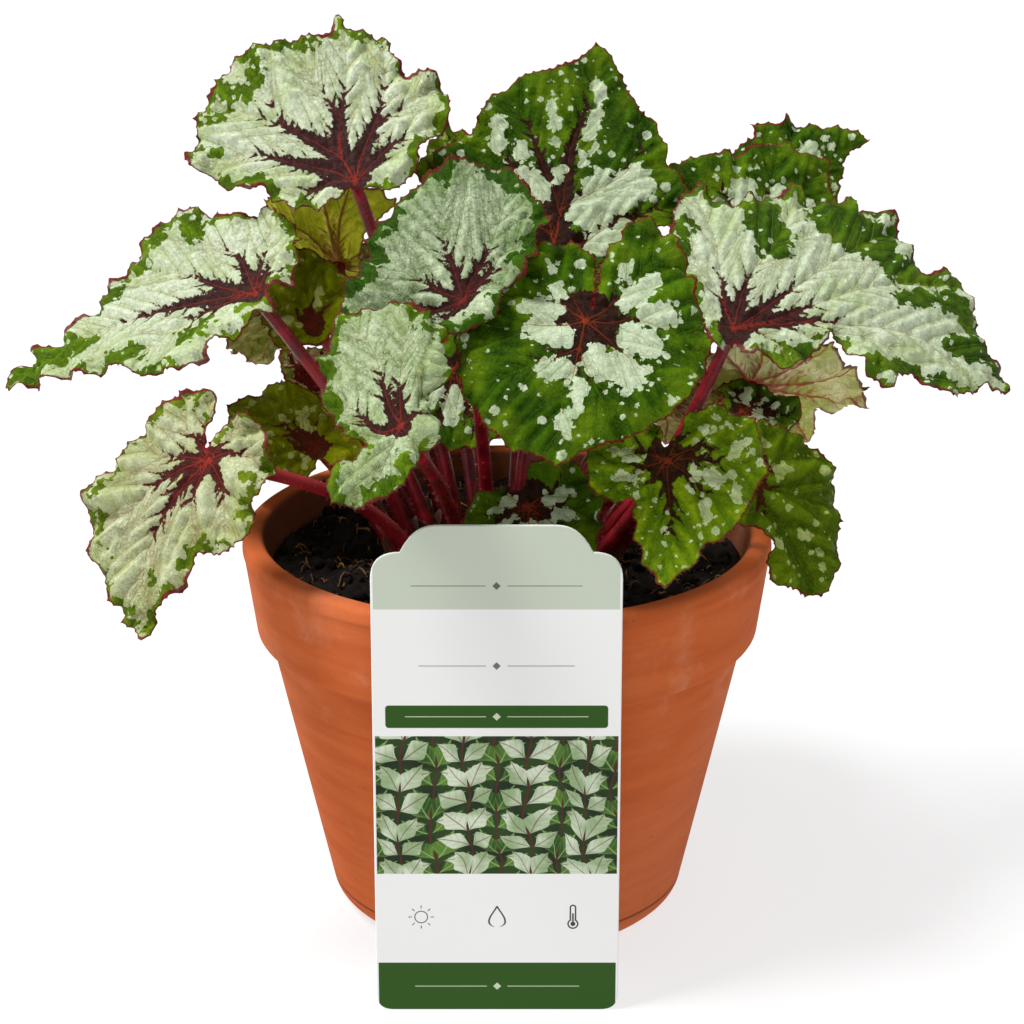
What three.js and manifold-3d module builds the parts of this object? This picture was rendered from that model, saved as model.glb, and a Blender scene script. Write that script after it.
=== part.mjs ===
// A potted rex begonia: a terracotta pot with a collar, filled with soil, a creeping rhizome
// half sunk in the soil, one petiole and one waved blade for each leaf, and a plain plant label
// that stands in front of the pot and leans on its rim.
// Millimetres, +Z up. The origin is the middle of the pot's base, and the front faces -Y.

import * as THREE from 'three';
import { mergeVertices } from 'three/addons/utils/BufferGeometryUtils.js';
import Module from 'manifold-3d';

const wasm = await Module();
wasm.setup();

// ---------------------------------------------------------------- driving dimensions

const gap = 0.3;                 // clearance between neighbouring pieces

const pot = {
  height: 120,
  rimRadius: 81,                 // outside of the rounded lip
  collarTopRadius: 80,           // just under the lip
  collarBottomRadius: 77.3,
  collarBottom: 89,              // height of the collar's lower edge
  bodyTopRadius: 73.5,           // outside of the wall under the collar
  baseRadius: 54,
  baseCorner: 4,
  wall: 6,
  floor: 8,
  mouthRadius: 74.5,             // inner edge of the lip
  holeRadius: 9,                 // drainage hole
  segments: 44,
};

const soil = { top: 109, lump: 1.3, segments: 40 };

const rhizome = {
  centre: [-1, 0, 107],
  halfSize: [40, 27, 10],
  lump: 0.07,
  segments: 26,
  rings: 12,
};

const label = {
  width: 70.6,
  height: 150,
  thickness: 1.2,
  shoulderHeight: 134,           // where the straight sides end
  notchHeight: 142,
  notchHalfWidth: 27,
  archHalfWidth: 15,
  corner: 5,
  lean: 1,                       // degrees back from upright
  x: -2.8,
  footY: -83.4,
};

const blade = { thickness: 0.9, longestStep: 11, tooth: 0.5 };
const petiole = {
  radius: 2.1,
  sides: 6,
  steps: 7,
  seat: 0.6,
  sink: 3,
  hook: 13,
  rise: [0.12, 0.35],            // how far it first leans out and goes up, as parts of the way
};

// Each leaf is drawn flat, with its petiole's seat at the origin, +x along the midrib to the tip
// and +y to the left. `edge` goes round its margin from the tip, and `middle` is a point that
// sees the whole margin. `bends` are [towards, start, over, turn]: beyond `start` mm in the
// direction `towards`, the blade turns down by `turn` degrees over `over` mm. Then the seat goes
// to `hub`, the upper face looks to the compass direction face[0] at face[1] degrees from
// straight up, and the midrib is turned by `spin` degrees from the downhill direction.
// `wave` is the ruffle of the margin: [height, count, phase]. `foot` is where the petiole
// leaves the rhizome, and `rise` is there only where it isn't the petioles' own.
const leaves = {
  silver_top_left: {
    hub: [-45, 8, 226], face: [-95, 50], spin: -171, middle: [23, 10], foot: [-15, 6],
    bends: [[90, 12, 45, 18], [-90, 12, 45, 18], [0, 15, 50, -12]], wave: [1.6, 5, 40],
    edge: [[54, 0], [49, 6], [49, 25], [46, 33], [31, 46], [24, 47], [18, 51], [13, 48],
      [9, 43], [3, 36], [2, 28], [-1, 25], [-5, 20], [-6, 9], [-2, 2], [-2, -4], [-4, -10],
      [4, -19], [9, -20], [14, -27], [21, -30], [34, -26], [34, -19], [46, -12], [51, -2]],
  },
  silver_left_long: {
    hub: [-74, -12, 197], face: [-115, 42], spin: -67, middle: [24, -9], foot: [-29, -2],
    bends: [[0, 15, 60, 22]], wave: [1.6, 6, 0],
    edge: [[89, 0], [72, 5], [62, 8], [54, 11], [46, 11], [36, 18], [29, 19], [17, 19], [14, 12],
      [6, 13], [1, 8], [-6, 4], [-3, 0], [-10, -3], [-13, -9], [-14, -15], [-11, -24], [-4, -30],
      [13, -33], [19, -38], [33, -33], [38, -26], [66, -8], [82, -7]],
  },
  silver_lower_left: {
    hub: [-85, -52, 159], face: [-112, 62], spin: -13, middle: [15, -6], foot: [-27, -12],
    bends: [[90, 8, 35, 16], [-90, 8, 35, 16], [0, 10, 50, 10]], wave: [1.2, 6, 90],
    edge: [[54, 1], [43, 2], [38, 6], [32, 8], [26, 7], [23, 14], [14, 20], [6, 17], [2, 19],
      [-8, 17], [-14, 11], [-15, 4], [-9, -1], [-3, -3], [-10, -5], [-18, -7], [-15, -17],
      [-6, -23], [7, -27], [19, -33], [30, -31], [40, -23], [50, -9]],
  },
  silver_curled: {
    hub: [-28.5, -92, 182.5], face: [-98, 42], spin: -25, middle: [5, 0], foot: [-13, -20],
    bends: [[117, 1.5, 6, 110], [117, 0, 1.5, -40], [0, 4, 26, 34], [-90, 3, 14, 20]], wave: [1, 5, 0],
    edge: [[27, -3], [24, 3], [15, 9], [3, 12], [-9, 10], [-20, 5], [-31, -1], [-36, -7],
      [-36, -15], [-35, -26], [-28, -36], [-20, -39], [-11, -36], [1, -26], [8, -15], [9, -10],
      [9, -5], [15, -8], [21, -12], [26, -10]],
  },
  silver_centre: {
    hub: [-12, -54, 207], face: [-98, 50], spin: -171, middle: [15, 5], foot: [-5, -12],
    bends: [[221, 4, 7, 85], [221, 0, 2, -30], [90, 10, 35, 14]], wave: [1.3, 6, 60],
    edge: [[44, -1], [40, 8], [37, 11], [29, 21], [22, 26], [10, 30], [8, 34], [0, 36],
      [-7, 29], [-12, 20], [-13, 11], [-11, 1], [-8, -8], [0, -11], [7, -19], [15, -20],
      [21, -26], [28, -23], [40, -15], [41, -8]],
  },
  green_top: {
    hub: [14, 14, 203], face: [-88, 48], spin: 168, middle: [26, 4], foot: [3, 4],
    bends: [[90, 10, 50, 16], [-90, 15, 50, 20], [0, 10, 60, -10]], wave: [1.6, 6, 0],
    edge: [[71, -1], [65, 4], [56, 19], [46, 30], [41, 30], [27, 41], [19, 42], [3, 35],
      [-6, 24], [-10, 14], [-9, 5], [-3, -1], [-4, -8], [-5, -14], [-3, -20], [8, -23],
      [14, -26], [16, -34], [27, -37], [36, -30], [50, -22], [53, -17]],
  },
  green_right_long: {
    hub: [67, -14, 187], face: [-70, 44], spin: 76, middle: [32, 22], foot: [24, -9],
    bends: [[0, 20, 60, 20], [90, 10, 40, 10], [-90, 8, 30, 10]], wave: [1.5, 6, 0], rise: [0.5, 0.22],
    edge: [[95, -1], [93, 6], [86, 11], [81, 33], [77, 38], [65, 35], [61, 42], [58, 54],
      [44, 56], [40, 54], [29, 53], [25, 56], [1, 47], [-9, 52], [-18, 31], [-18, 17], [-14, 13],
      [-9, -1], [-5, -8], [1, -4], [4, -9], [9, -6], [17, -11], [21, -8], [29, 1], [32, 4],
      [35, -1], [42, -8], [48, -11], [55, -5], [68, -8], [78, -6], [88, 0]],
  },
  green_centre: {
    hub: [22, -57, 202], face: [-92, 44], spin: -11, middle: [8, 1], foot: [10, -6],
    bends: [[0, 12, 35, 25], [90, 12, 35, 14], [-90, 12, 35, 14]], wave: [1.2, 7, 0],
    edge: [[44, 0], [39, 7], [29, 23], [16, 33], [4, 36], [-4, 34], [-18, 27], [-31, 20],
      [-35, 9], [-24, 2], [-4, 1], [-20, -2], [-24, -10], [-20, -19], [-9, -26], [5, -33],
      [11, -34], [26, -30], [41, -13], [42, -3]],
  },
  green_lower_right: {
    hub: [45, -64, 163], face: [-86, 60], spin: -4, middle: [6, 4], foot: [18, -16],
    bends: [[90, 8, 25, 14], [-90, 8, 25, 14]], wave: [1, 7, 30],
    edge: [[35, 0], [28, 9], [23, 12], [21, 17], [14, 22], [0, 29], [-8, 27], [-13, 23],
      [-17, 14], [-14, 7], [-4, 0], [-12, -4], [-12, -9], [-7, -14], [-2, -22], [9, -20],
      [12, -14], [12, -9], [22, -8]],
  },
  olive_right_hanging: {
    hub: [74, -28, 150], face: [-60, 66], spin: 16, middle: [15, 5], foot: [32, -6],
    bends: [[90, 8, 25, 12], [-90, 8, 25, 12]], wave: [1, 6, 0],
    edge: [[44, 0], [37, 11], [29, 15], [21, 22], [8, 22], [0, 18], [-11, 5], [-3, -1],
      [-7, -5], [-1, -11], [12, -14], [18, -8], [23, -7], [28, -12], [34, -11], [41, -3]],
  },
  olive_right_turned: {
    hub: [73.5, 6, 165], face: [100, 52], spin: -73, middle: [6, 0], foot: [32, 4],
    bends: [[90, 8, 30, -12], [-90, 8, 30, -12]], wave: [0.8, 5, 0],
    edge: [[40, -1], [40, 7], [28, 8], [32, 17], [33, 24], [27, 26], [17, 20], [7, 15],
      [-3, 16], [-14, 5], [-20, -8], [-19, -15], [-6, -21], [6, -23], [15, -23], [25, -14],
      [33, -10]],
  },
  dark_right_small: {
    hub: [70, -12, 161], face: [-75, 28], spin: 71, middle: [3, 0], foot: [28, -1],
    bends: [], wave: [0.4, 5, 0],
    edge: [[18, 2], [15, 9], [8, 13], [-2, 13], [-9, 8], [-5, 1], [-10, -5], [-2, -9], [8, -8],
      [15, -4]],
  },
  green_back_right: {
    hub: [76, 42, 199], face: [-80, 52], spin: 132, middle: [12, 7], foot: [25, 6],
    bends: [[90, 8, 35, 12], [-90, 8, 35, 12]], wave: [1, 6, 0],
    edge: [[39, 0], [33, 10], [34, 14], [20, 24], [3, 35], [-6, 27], [-14, 10], [-9, -1],
      [-2, -2], [-2, -9], [6, -15], [18, -17], [27, -14], [34, -3]],
  },
  green_back_far: {
    hub: [86, 62, 206], face: [-75, 50], spin: 120, middle: [11, 8], foot: [20, 12],
    bends: [[90, 8, 35, 12], [-90, 8, 35, 12]], wave: [1, 6, 90],
    edge: [[39, 0], [37, 8], [26, 16], [24, 22], [19, 22], [15, 27], [9, 23], [-3, 22],
      [-10, 18], [-13, 7], [-8, 0], [-2, -2], [-3, -7], [7, -11], [18, -8], [32, 1]],
  },
  bronze_back_small: {
    hub: [-17, 34, 220], face: [-90, 50], spin: 180, middle: [6, 0], foot: [-7, 11],
    bends: [[90, 5, 25, 12], [-90, 5, 25, 12]], wave: [0.5, 5, 0],
    edge: [[19, 0], [16, 5], [4, 10], [-3, 8], [-6, 4], [-2, 0], [-6, -3], [-1, -8], [7, -9],
      [18, -4]],
  },
  olive_left_turned: {
    hub: [-52, 40, 193], face: [85, 58], spin: 167, middle: [19, 3], foot: [-19, 13],
    bends: [[90, 8, 30, -12], [-90, 8, 30, -12]], wave: [0.8, 5, 0],
    edge: [[38, 0], [38, 10], [34, 16], [22, 25], [18, 20], [8, 10], [-7, 4], [-10, -1],
      [-2, -7], [4, -12], [17, -13], [30, -14]],
  },
  olive_left_back: {
    hub: [-58, 6, 182], face: [-110, 50], spin: -100, middle: [8, -7], foot: [-23, 3],
    bends: [[0, 5, 30, 15]], wave: [0.6, 5, 0],
    edge: [[19, 0], [8, 9], [1, 7], [-5, 3], [-6, -14], [-4, -17], [16, -23], [22, -12],
      [23, -5]],
  },
  olive_left_lower: {
    hub: [-57, -8, 148], face: [-105, 52], spin: -107, middle: [8, -3], foot: [-34, -5],
    bends: [[0, 8, 30, 12]], wave: [0.8, 5, 0],
    edge: [[33, 0], [22, 6], [11, 11], [0, 10], [-2, 3], [-8, 3], [-17, -5], [-6, -8],
      [7, -15], [20, -15], [28, -10]],
  },
  red_left_small: {
    hub: [-58, 14, 162], face: [-110, 45], spin: -115, middle: [6, -2], foot: [-25, 10],
    bends: [], wave: [0.4, 5, 0],
    edge: [[16, 0], [9, 5], [3, 6], [-3, 3], [-4, -1], [-2, -6], [4, -10], [10, -8], [16, -5]],
  },
  green_lower_centre: {
    hub: [6, -54, 146], face: [-92, 52], spin: 3, middle: [4, 3], foot: [3, -20],
    bends: [[90, 8, 20, 14], [-90, 8, 20, 14]], wave: [0.8, 6, 0],
    edge: [[20, 0], [20, 9], [18, 16], [5, 21], [-9, 19], [-14, 7], [-12, 1], [-5, -1],
      [-6, -11], [2, -18], [10, -15], [16, -8]],
  },
  dark_centre_folded: {
    hub: [-16, -6, 172], face: [-95, 55], spin: 20, middle: [2, 1], foot: [-9, -4],
    bends: [[90, 5, 20, 20], [-90, 5, 20, 20]], wave: [1, 5, 0],
    edge: [[25, 0], [22, 14], [11, 21], [-4, 22], [-17, 20], [-20, 8], [-10, 0], [-20, -8],
      [-8, -18], [4, -22], [14, -20], [21, -11]],
  },
  silver_back_left: {
    hub: [-60, 74, 180], face: [140, 42], spin: 0, middle: [12, 0], foot: [-16, 19],
    bends: [[0, 12, 45, 26], [90, 10, 35, 14], [-90, 10, 35, 14]], wave: [1.4, 6, 20],
    edge: [[48, 0], [40, 10], [36, 18], [27, 26], [14, 31], [1, 29], [-9, 24], [-14, 14],
      [-12, 6], [-5, 0], [-12, -6], [-15, -15], [-10, -25], [2, -31], [16, -32], [29, -26],
      [38, -16], [42, -8]],
  },
  green_back_centre: {
    hub: [6, 76, 178], face: [95, 44], spin: 8, middle: [12, 0], foot: [2, 17],
    bends: [[0, 12, 45, 24], [90, 12, 40, 16], [-90, 12, 40, 16]], wave: [1.5, 7, 0],
    edge: [[52, 0], [44, 8], [41, 19], [30, 29], [15, 35], [0, 33], [-11, 26], [-17, 15],
      [-13, 6], [-5, 0], [-13, -7], [-17, -17], [-9, -27], [3, -33], [17, -34], [31, -28],
      [40, -19], [45, -9]],
  },
  silver_back_low_right: {
    hub: [48, 71, 145], face: [40, 48], spin: -6, middle: [11, 0], foot: [17, 18],
    bends: [[0, 10, 40, 22], [90, 10, 35, 14], [-90, 10, 35, 14]], wave: [1.2, 6, 70],
    edge: [[42, 0], [36, 9], [31, 18], [20, 26], [7, 28], [-5, 25], [-12, 16], [-11, 6],
      [-4, 0], [-11, -6], [-13, -15], [-7, -24], [5, -28], [18, -27], [29, -19], [37, -9]],
  },
  green_back_low_left: {
    hub: [-14, 75, 138], face: [112, 50], spin: 4, middle: [10, 0], foot: [-6, 20],
    bends: [[0, 10, 35, 16], [90, 8, 30, 14], [-90, 8, 30, 14]], wave: [1, 6, 10],
    edge: [[36, 0], [31, 9], [25, 17], [13, 23], [1, 23], [-8, 17], [-11, 8], [-4, 0],
      [-10, -7], [-10, -16], [-1, -23], [12, -24], [24, -18], [31, -9]],
  },
  olive_back_left_low: {
    hub: [-66, 28, 148], face: [165, 56], spin: 0, middle: [9, 0], foot: [-33, 6],
    bends: [[90, 8, 30, 12], [-90, 8, 30, 12]], wave: [0.9, 5, 0],
    edge: [[32, 0], [26, 9], [19, 16], [7, 19], [-4, 16], [-9, 8], [-4, 0], [-9, -7], [-6, -15],
      [5, -20], [17, -17], [26, -9]],
  },
  olive_back_right_low: {
    hub: [84, 49, 140], face: [10, 60], spin: 0, middle: [8, 0], foot: [28, 13],
    bends: [[90, 8, 30, 12], [-90, 8, 30, 12]], wave: [0.8, 5, 40],
    edge: [[30, 0], [24, 8], [17, 14], [6, 17], [-4, 14], [-8, 7], [-3, 0], [-8, -6], [-5, -14],
      [5, -18], [17, -15], [25, -8]],
  },
};

// ---------------------------------------------------------------- materials

function finish(color, roughness) {
  return new THREE.MeshStandardMaterial({ color, roughness, metalness: 0 });
}

const materials = {
  terracotta: finish(0xc0653a, 0.85),
  soil: finish(0x2a1d16, 1),
  rhizome: finish(0x6b3a26, 0.8),
  petiole: finish(0x7d1420, 0.5),
  silver: finish(0xb9cdb4, 0.5),
  green: finish(0x2f6a26, 0.35),
  olive: finish(0x6f8a35, 0.5),
  label: finish(0xe9ece6, 0.45),
};

function leafMaterial(name) {
  if (name.startsWith('silver')) return materials.silver;
  return name.startsWith('green') ? materials.green : materials.olive;
}

// ---------------------------------------------------------------- solids, cuts and tubes

const toRadians = THREE.MathUtils.degToRad;

function toSolid(geometry) {
  const bare = geometry.clone();
  for (const name of Object.keys(bare.attributes)) {
    if (name !== 'position') bare.deleteAttribute(name);
  }
  const merged = mergeVertices(bare, 1e-4);
  return new wasm.Manifold(new wasm.Mesh({
    numProp: 3,
    vertProperties: new Float32Array(merged.attributes.position.array),
    triVerts: new Uint32Array(merged.index.array),
  }));
}

function toGeometry(solid) {
  const mesh = solid.getMesh();
  const geometry = new THREE.BufferGeometry();
  geometry.setAttribute('position', new THREE.BufferAttribute(mesh.vertProperties, 3));
  geometry.setIndex(new THREE.BufferAttribute(mesh.triVerts, 1));
  geometry.computeVertexNormals();
  return geometry;
}

function cutAway(geometry, tools) {
  let solid = toSolid(geometry);
  for (const tool of tools) solid = solid.subtract(toSolid(tool));
  return toGeometry(solid);
}

function tube(path, radius) {
  const section = new THREE.Shape();
  for (let i = 0; i < petiole.sides; i++) {
    const angle = (2 * Math.PI * i) / petiole.sides;
    const point = [radius * Math.cos(angle), radius * Math.sin(angle)];
    if (i === 0) section.moveTo(...point);
    else section.lineTo(...point);
  }
  section.closePath();
  return new THREE.ExtrudeGeometry(section, { steps: petiole.steps, extrudePath: path });
}

// ---------------------------------------------------------------- pot, soil and rhizome

function potGeometry() {
  const innerTop = pot.collarBottomRadius - pot.wall - 3;
  const profile = [
    [pot.holeRadius, 0],
    [pot.baseRadius - pot.baseCorner, 0],
    [pot.baseRadius - 1, 1.2],
    [pot.baseRadius + 0.6, pot.baseCorner],
    [pot.bodyTopRadius, pot.collarBottom + 1],
    [pot.collarBottomRadius - 2, pot.collarBottom],
    [pot.collarBottomRadius, pot.collarBottom + 2.5],
    [pot.collarTopRadius, pot.height - 6.5],
    [pot.rimRadius, pot.height - 4],
    [pot.rimRadius - 0.8, pot.height - 1.3],
    [pot.rimRadius - 3, pot.height],
    [pot.mouthRadius + 1.5, pot.height],
    [pot.mouthRadius, pot.height - 1.5],
    [innerTop, pot.collarBottom],
    [pot.baseRadius - pot.wall, pot.floor],
    [pot.holeRadius, pot.floor],
    [pot.holeRadius, 0],
  ].map(([radius, z]) => new THREE.Vector2(radius, z));
  return new THREE.LatheGeometry(profile, pot.segments).rotateX(Math.PI / 2);
}

// The radius of the pot's inside at height z, measured to the wall.
function potInside(z) {
  const innerTop = pot.collarBottomRadius - pot.wall - 3;
  if (z < pot.collarBottom) {
    const share = (z - pot.floor) / (pot.collarBottom - pot.floor);
    return THREE.MathUtils.lerp(pot.baseRadius - pot.wall, innerTop, share);
  }
  const share = (z - pot.collarBottom) / (pot.height - 1.5 - pot.collarBottom);
  return THREE.MathUtils.lerp(innerTop, pot.mouthRadius, share);
}

function soilGeometry() {
  const clearance = 0.6;
  const bottom = pot.floor + gap;
  const shelf = soil.top - 1;
  const profile = [
    [0, bottom],
    [potInside(bottom) - clearance, bottom],
    [potInside(pot.collarBottom) - clearance, pot.collarBottom],
    [potInside(shelf) - clearance, shelf],
    [potInside(shelf) * 0.87, soil.top],
    [potInside(shelf) * 0.7, soil.top],
    [potInside(shelf) * 0.5, soil.top],
    [potInside(shelf) * 0.25, soil.top],
    [0, soil.top],
  ].map(([radius, z]) => new THREE.Vector2(radius, z));
  const body = new THREE.LatheGeometry(profile, soil.segments).rotateX(Math.PI / 2);
  const points = body.attributes.position;
  for (let i = 0; i < points.count; i++) {
    if (points.getZ(i) < soil.top - 0.5) continue;
    const [x, y] = [points.getX(i), points.getY(i)];
    const lump = Math.sin(x * 0.17 + 1) * Math.cos(y * 0.21) + 0.6 * Math.sin(x * 0.31 - y * 0.27);
    points.setZ(i, soil.top + soil.lump * lump);
  }
  return body;
}

// A knobbly ellipsoid. `extra` makes it larger all round, for the hole that it lies in.
function rhizomeGeometry(extra = 0) {
  const body = new THREE.SphereGeometry(1, rhizome.segments, rhizome.rings).rotateX(Math.PI / 2);
  const points = body.attributes.position;
  const place = new THREE.Vector3();
  for (let i = 0; i < points.count; i++) {
    place.fromBufferAttribute(points, i);
    const knob = Math.sin(5 * place.x + 2) * Math.cos(4 * place.y) + 0.5 * Math.sin(7 * place.y);
    const swell = 1 + rhizome.lump * knob;
    points.setXYZ(
      i,
      rhizome.centre[0] + place.x * (rhizome.halfSize[0] * swell + extra),
      rhizome.centre[1] + place.y * (rhizome.halfSize[1] * swell + extra),
      rhizome.centre[2] + place.z * (rhizome.halfSize[2] * swell + extra),
    );
  }
  return body;
}

// ---------------------------------------------------------------- leaf blades

// Bends a point of a leaf, [x, y, height], as a sheet bends over a round edge.
function bendPoint([x, y, height], [towards, start, over, turn]) {
  const [c, s] = [Math.cos(toRadians(towards)), Math.sin(toRadians(towards))];
  const along = x * c + y * s;
  if (along <= start) return [x, y, height];
  const across = y * c - x * s;
  const radius = over / toRadians(turn);
  const angle = toRadians(turn) * Math.min((along - start) / over, 1);
  const rest = Math.max(along - start - over, 0);
  const newAlong = start + (radius + height) * Math.sin(angle) + rest * Math.cos(angle);
  const newHeight = (radius + height) * Math.cos(angle) - radius - rest * Math.sin(angle);
  return [newAlong * c - across * s, newAlong * s + across * c, newHeight];
}

// The leaf's own axes at its hub: along the midrib, to its left, and out of its upper face.
function leafAxes(leaf) {
  const [compass, tilt] = leaf.face.map(toRadians);
  const out = new THREE.Vector3(
    Math.sin(tilt) * Math.cos(compass), Math.sin(tilt) * Math.sin(compass), Math.cos(tilt));
  const downhill = new THREE.Vector3(
    Math.cos(tilt) * Math.cos(compass), Math.cos(tilt) * Math.sin(compass), -Math.sin(tilt));
  const midrib = downhill.clone().applyAxisAngle(out, toRadians(leaf.spin));
  return { midrib, left: out.clone().cross(midrib), out };
}

function leafPoint(leaf, axes, x, y, height) {
  const span = Math.max(...leaf.edge.map(([px, py]) => Math.hypot(px, py)));
  const [rise, count, phase] = leaf.wave;
  const outward = (Math.hypot(x, y) / span) ** 2;
  let point = [x, y, height + rise * outward * Math.sin(count * Math.atan2(y, x) + toRadians(phase))];
  for (const bend of leaf.bends) point = bendPoint(point, bend);
  return new THREE.Vector3(...leaf.hub)
    .addScaledVector(axes.midrib, point[0])
    .addScaledVector(axes.left, point[1])
    .addScaledVector(axes.out, point[2]);
}

// The margin as a smooth closed curve through the leaf's edge points, with small teeth.
function margin(leaf) {
  const count = leaf.edge.length;
  const corners = leaf.edge.map(([x, y]) => new THREE.Vector3(x, y, 0));
  const curve = new THREE.CatmullRomCurve3(corners, true, 'centripetal');
  const points = [];
  for (let i = 0; i < count; i++) {
    const length = corners[i].distanceTo(corners[(i + 1) % count]);
    const pieces = Math.ceil(length / blade.longestStep);
    for (let j = 0; j < pieces; j++) points.push(curve.getPoint((i + j / pieces) / count));
  }
  const middle = new THREE.Vector3(...leaf.middle, 0);
  points.forEach((point, i) => {
    const tooth = i % 2 === 0 ? blade.tooth : -blade.tooth;
    point.addScaledVector(point.clone().sub(middle).normalize(), tooth);
  });
  return points;
}

function leafGeometry(leaf) {
  const axes = leafAxes(leaf);
  const edge = margin(leaf);
  const count = edge.length;
  const rings = count > 24 ? [0.42, 0.78, 1] : [0.6, 1];
  const positions = [];
  for (const height of [0, -blade.thickness]) {
    positions.push(...leafPoint(leaf, axes, ...leaf.middle, height));
    for (const ring of rings) {
      for (const point of edge) {
        const x = THREE.MathUtils.lerp(leaf.middle[0], point.x, ring);
        const y = THREE.MathUtils.lerp(leaf.middle[1], point.y, ring);
        positions.push(...leafPoint(leaf, axes, x, y, height));
      }
    }
  }
  const faceSize = 1 + rings.length * count;
  const at = (ring, i) => 1 + ring * count + (i % count);
  const triangles = [];
  for (let i = 0; i < count; i++) {
    triangles.push([0, at(0, i), at(0, i + 1)]);
    for (let ring = 1; ring < rings.length; ring++) {
      triangles.push([at(ring - 1, i), at(ring, i), at(ring, i + 1)]);
      triangles.push([at(ring - 1, i), at(ring, i + 1), at(ring - 1, i + 1)]);
    }
  }
  const index = [];
  for (const [a, b, c] of triangles) {
    index.push(a, b, c, faceSize + a, faceSize + c, faceSize + b);
  }
  const rim = rings.length - 1;
  for (let i = 0; i < count; i++) {
    const [a, b] = [at(rim, i), at(rim, i + 1)];
    index.push(a, faceSize + a, b, b, faceSize + a, faceSize + b);
  }
  const geometry = new THREE.BufferGeometry();
  geometry.setAttribute('position', new THREE.Float32BufferAttribute(positions, 3));
  geometry.setIndex(index);
  geometry.computeVertexNormals();
  return geometry;
}

// ---------------------------------------------------------------- petioles

function petiolePath(leaf) {
  const axes = leafAxes(leaf);
  const hub = new THREE.Vector3(...leaf.hub);
  const top = hub.clone().addScaledVector(axes.out, -blade.thickness - petiole.seat);
  const hook = top.clone().addScaledVector(axes.out, -petiole.hook);
  const [x, y] = leaf.foot;
  const [cx, cy, cz] = rhizome.centre;
  const flatness = ((x - cx) / rhizome.halfSize[0]) ** 2 + ((y - cy) / rhizome.halfSize[1]) ** 2;
  const surface = cz + rhizome.halfSize[2] * Math.sqrt(Math.max(1 - flatness, 0.1));
  const foot = new THREE.Vector3(x, y, surface - petiole.sink);
  const reach = hub.distanceTo(foot);
  const [out, up] = leaf.rise ?? petiole.rise;
  const outward = new THREE.Vector3(hub.x - x, hub.y - y, 0).multiplyScalar(out);
  const rise = foot.clone().add(outward).add(new THREE.Vector3(0, 0, reach * up));
  return new THREE.CubicBezierCurve3(foot, rise, hook, top);
}

// ---------------------------------------------------------------- plant label

function labelGeometry() {
  const half = label.width / 2;
  const { corner, shoulderHeight, notchHeight, notchHalfWidth, archHalfWidth, height } = label;
  const outline = new THREE.Shape();
  outline.moveTo(-half + corner, 0);
  outline.lineTo(half - corner, 0);
  outline.quadraticCurveTo(half, 0, half, corner);
  outline.lineTo(half, shoulderHeight);
  outline.quadraticCurveTo(half, notchHeight, notchHalfWidth, notchHeight);
  outline.bezierCurveTo(notchHalfWidth - 4, height, archHalfWidth + 4, height, archHalfWidth, height);
  outline.lineTo(-archHalfWidth, height);
  outline.bezierCurveTo(
    -archHalfWidth - 4, height, -notchHalfWidth + 4, height, -notchHalfWidth, notchHeight);
  outline.quadraticCurveTo(-half, notchHeight, -half, shoulderHeight);
  outline.lineTo(-half, corner);
  outline.quadraticCurveTo(-half, 0, -half + corner, 0);
  const options = { depth: label.thickness, bevelEnabled: false, curveSegments: 6 };
  return new THREE.ExtrudeGeometry(outline, options).rotateX(Math.PI / 2);
}

// ---------------------------------------------------------------- assembly

const plant = new THREE.Group();

function addPiece(name, geometry, material) {
  const mesh = new THREE.Mesh(geometry, material);
  mesh.name = name;
  plant.add(mesh);
  return mesh;
}

const paths = Object.values(leaves).map(petiolePath);
const sockets = paths.map((path) => tube(path, petiole.radius + gap));

addPiece('pot', potGeometry(), materials.terracotta);
addPiece('soil', cutAway(soilGeometry(), [rhizomeGeometry(gap), ...sockets]), materials.soil);
addPiece('rhizome', cutAway(rhizomeGeometry(), sockets), materials.rhizome);

Object.entries(leaves).forEach(([name, leaf], i) => {
  addPiece(`petiole_${name}`, tube(paths[i], petiole.radius), materials.petiole);
  addPiece(`leaf_${name}`, leafGeometry(leaf), leafMaterial(name));
});

const card = addPiece('plant_label', labelGeometry(), materials.label);
card.rotation.x = -toRadians(label.lean);
card.position.set(label.x, label.footY, 0);

export default plant;
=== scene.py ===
"""The looks of a potted rex begonia: waved, puckered and patterned leaf blades, bristly
petioles, a fired clay pot, crumbly soil, a scaly rhizome and a printed plant label."""

import math

import bpy
import numpy as np
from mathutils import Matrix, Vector
from mathutils.geometry import delaunay_2d_cdt


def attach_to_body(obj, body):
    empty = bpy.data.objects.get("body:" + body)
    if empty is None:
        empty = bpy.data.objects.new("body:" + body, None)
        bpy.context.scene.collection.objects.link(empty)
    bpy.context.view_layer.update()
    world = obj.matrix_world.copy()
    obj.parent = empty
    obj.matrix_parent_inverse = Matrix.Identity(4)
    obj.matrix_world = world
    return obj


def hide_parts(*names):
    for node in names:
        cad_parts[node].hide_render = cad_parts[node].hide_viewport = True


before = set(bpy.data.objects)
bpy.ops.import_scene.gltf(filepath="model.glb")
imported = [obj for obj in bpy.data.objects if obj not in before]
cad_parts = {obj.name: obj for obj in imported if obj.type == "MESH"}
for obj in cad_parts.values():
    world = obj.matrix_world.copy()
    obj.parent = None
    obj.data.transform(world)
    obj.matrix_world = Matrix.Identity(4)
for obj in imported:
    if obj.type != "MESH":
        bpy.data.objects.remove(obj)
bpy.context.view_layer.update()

MM = 0.001                      # every length below is in millimetres, except in the stage
TURN = 2 * math.pi
SEEDS = {"leaf": 100, "petiole": 500, "scales": 900, "soil": 31, "crumbs": 77, "fibres": 78, "rhizome": 5}

# ---------------------------------------------------------------- camera, lights and floor

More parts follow.
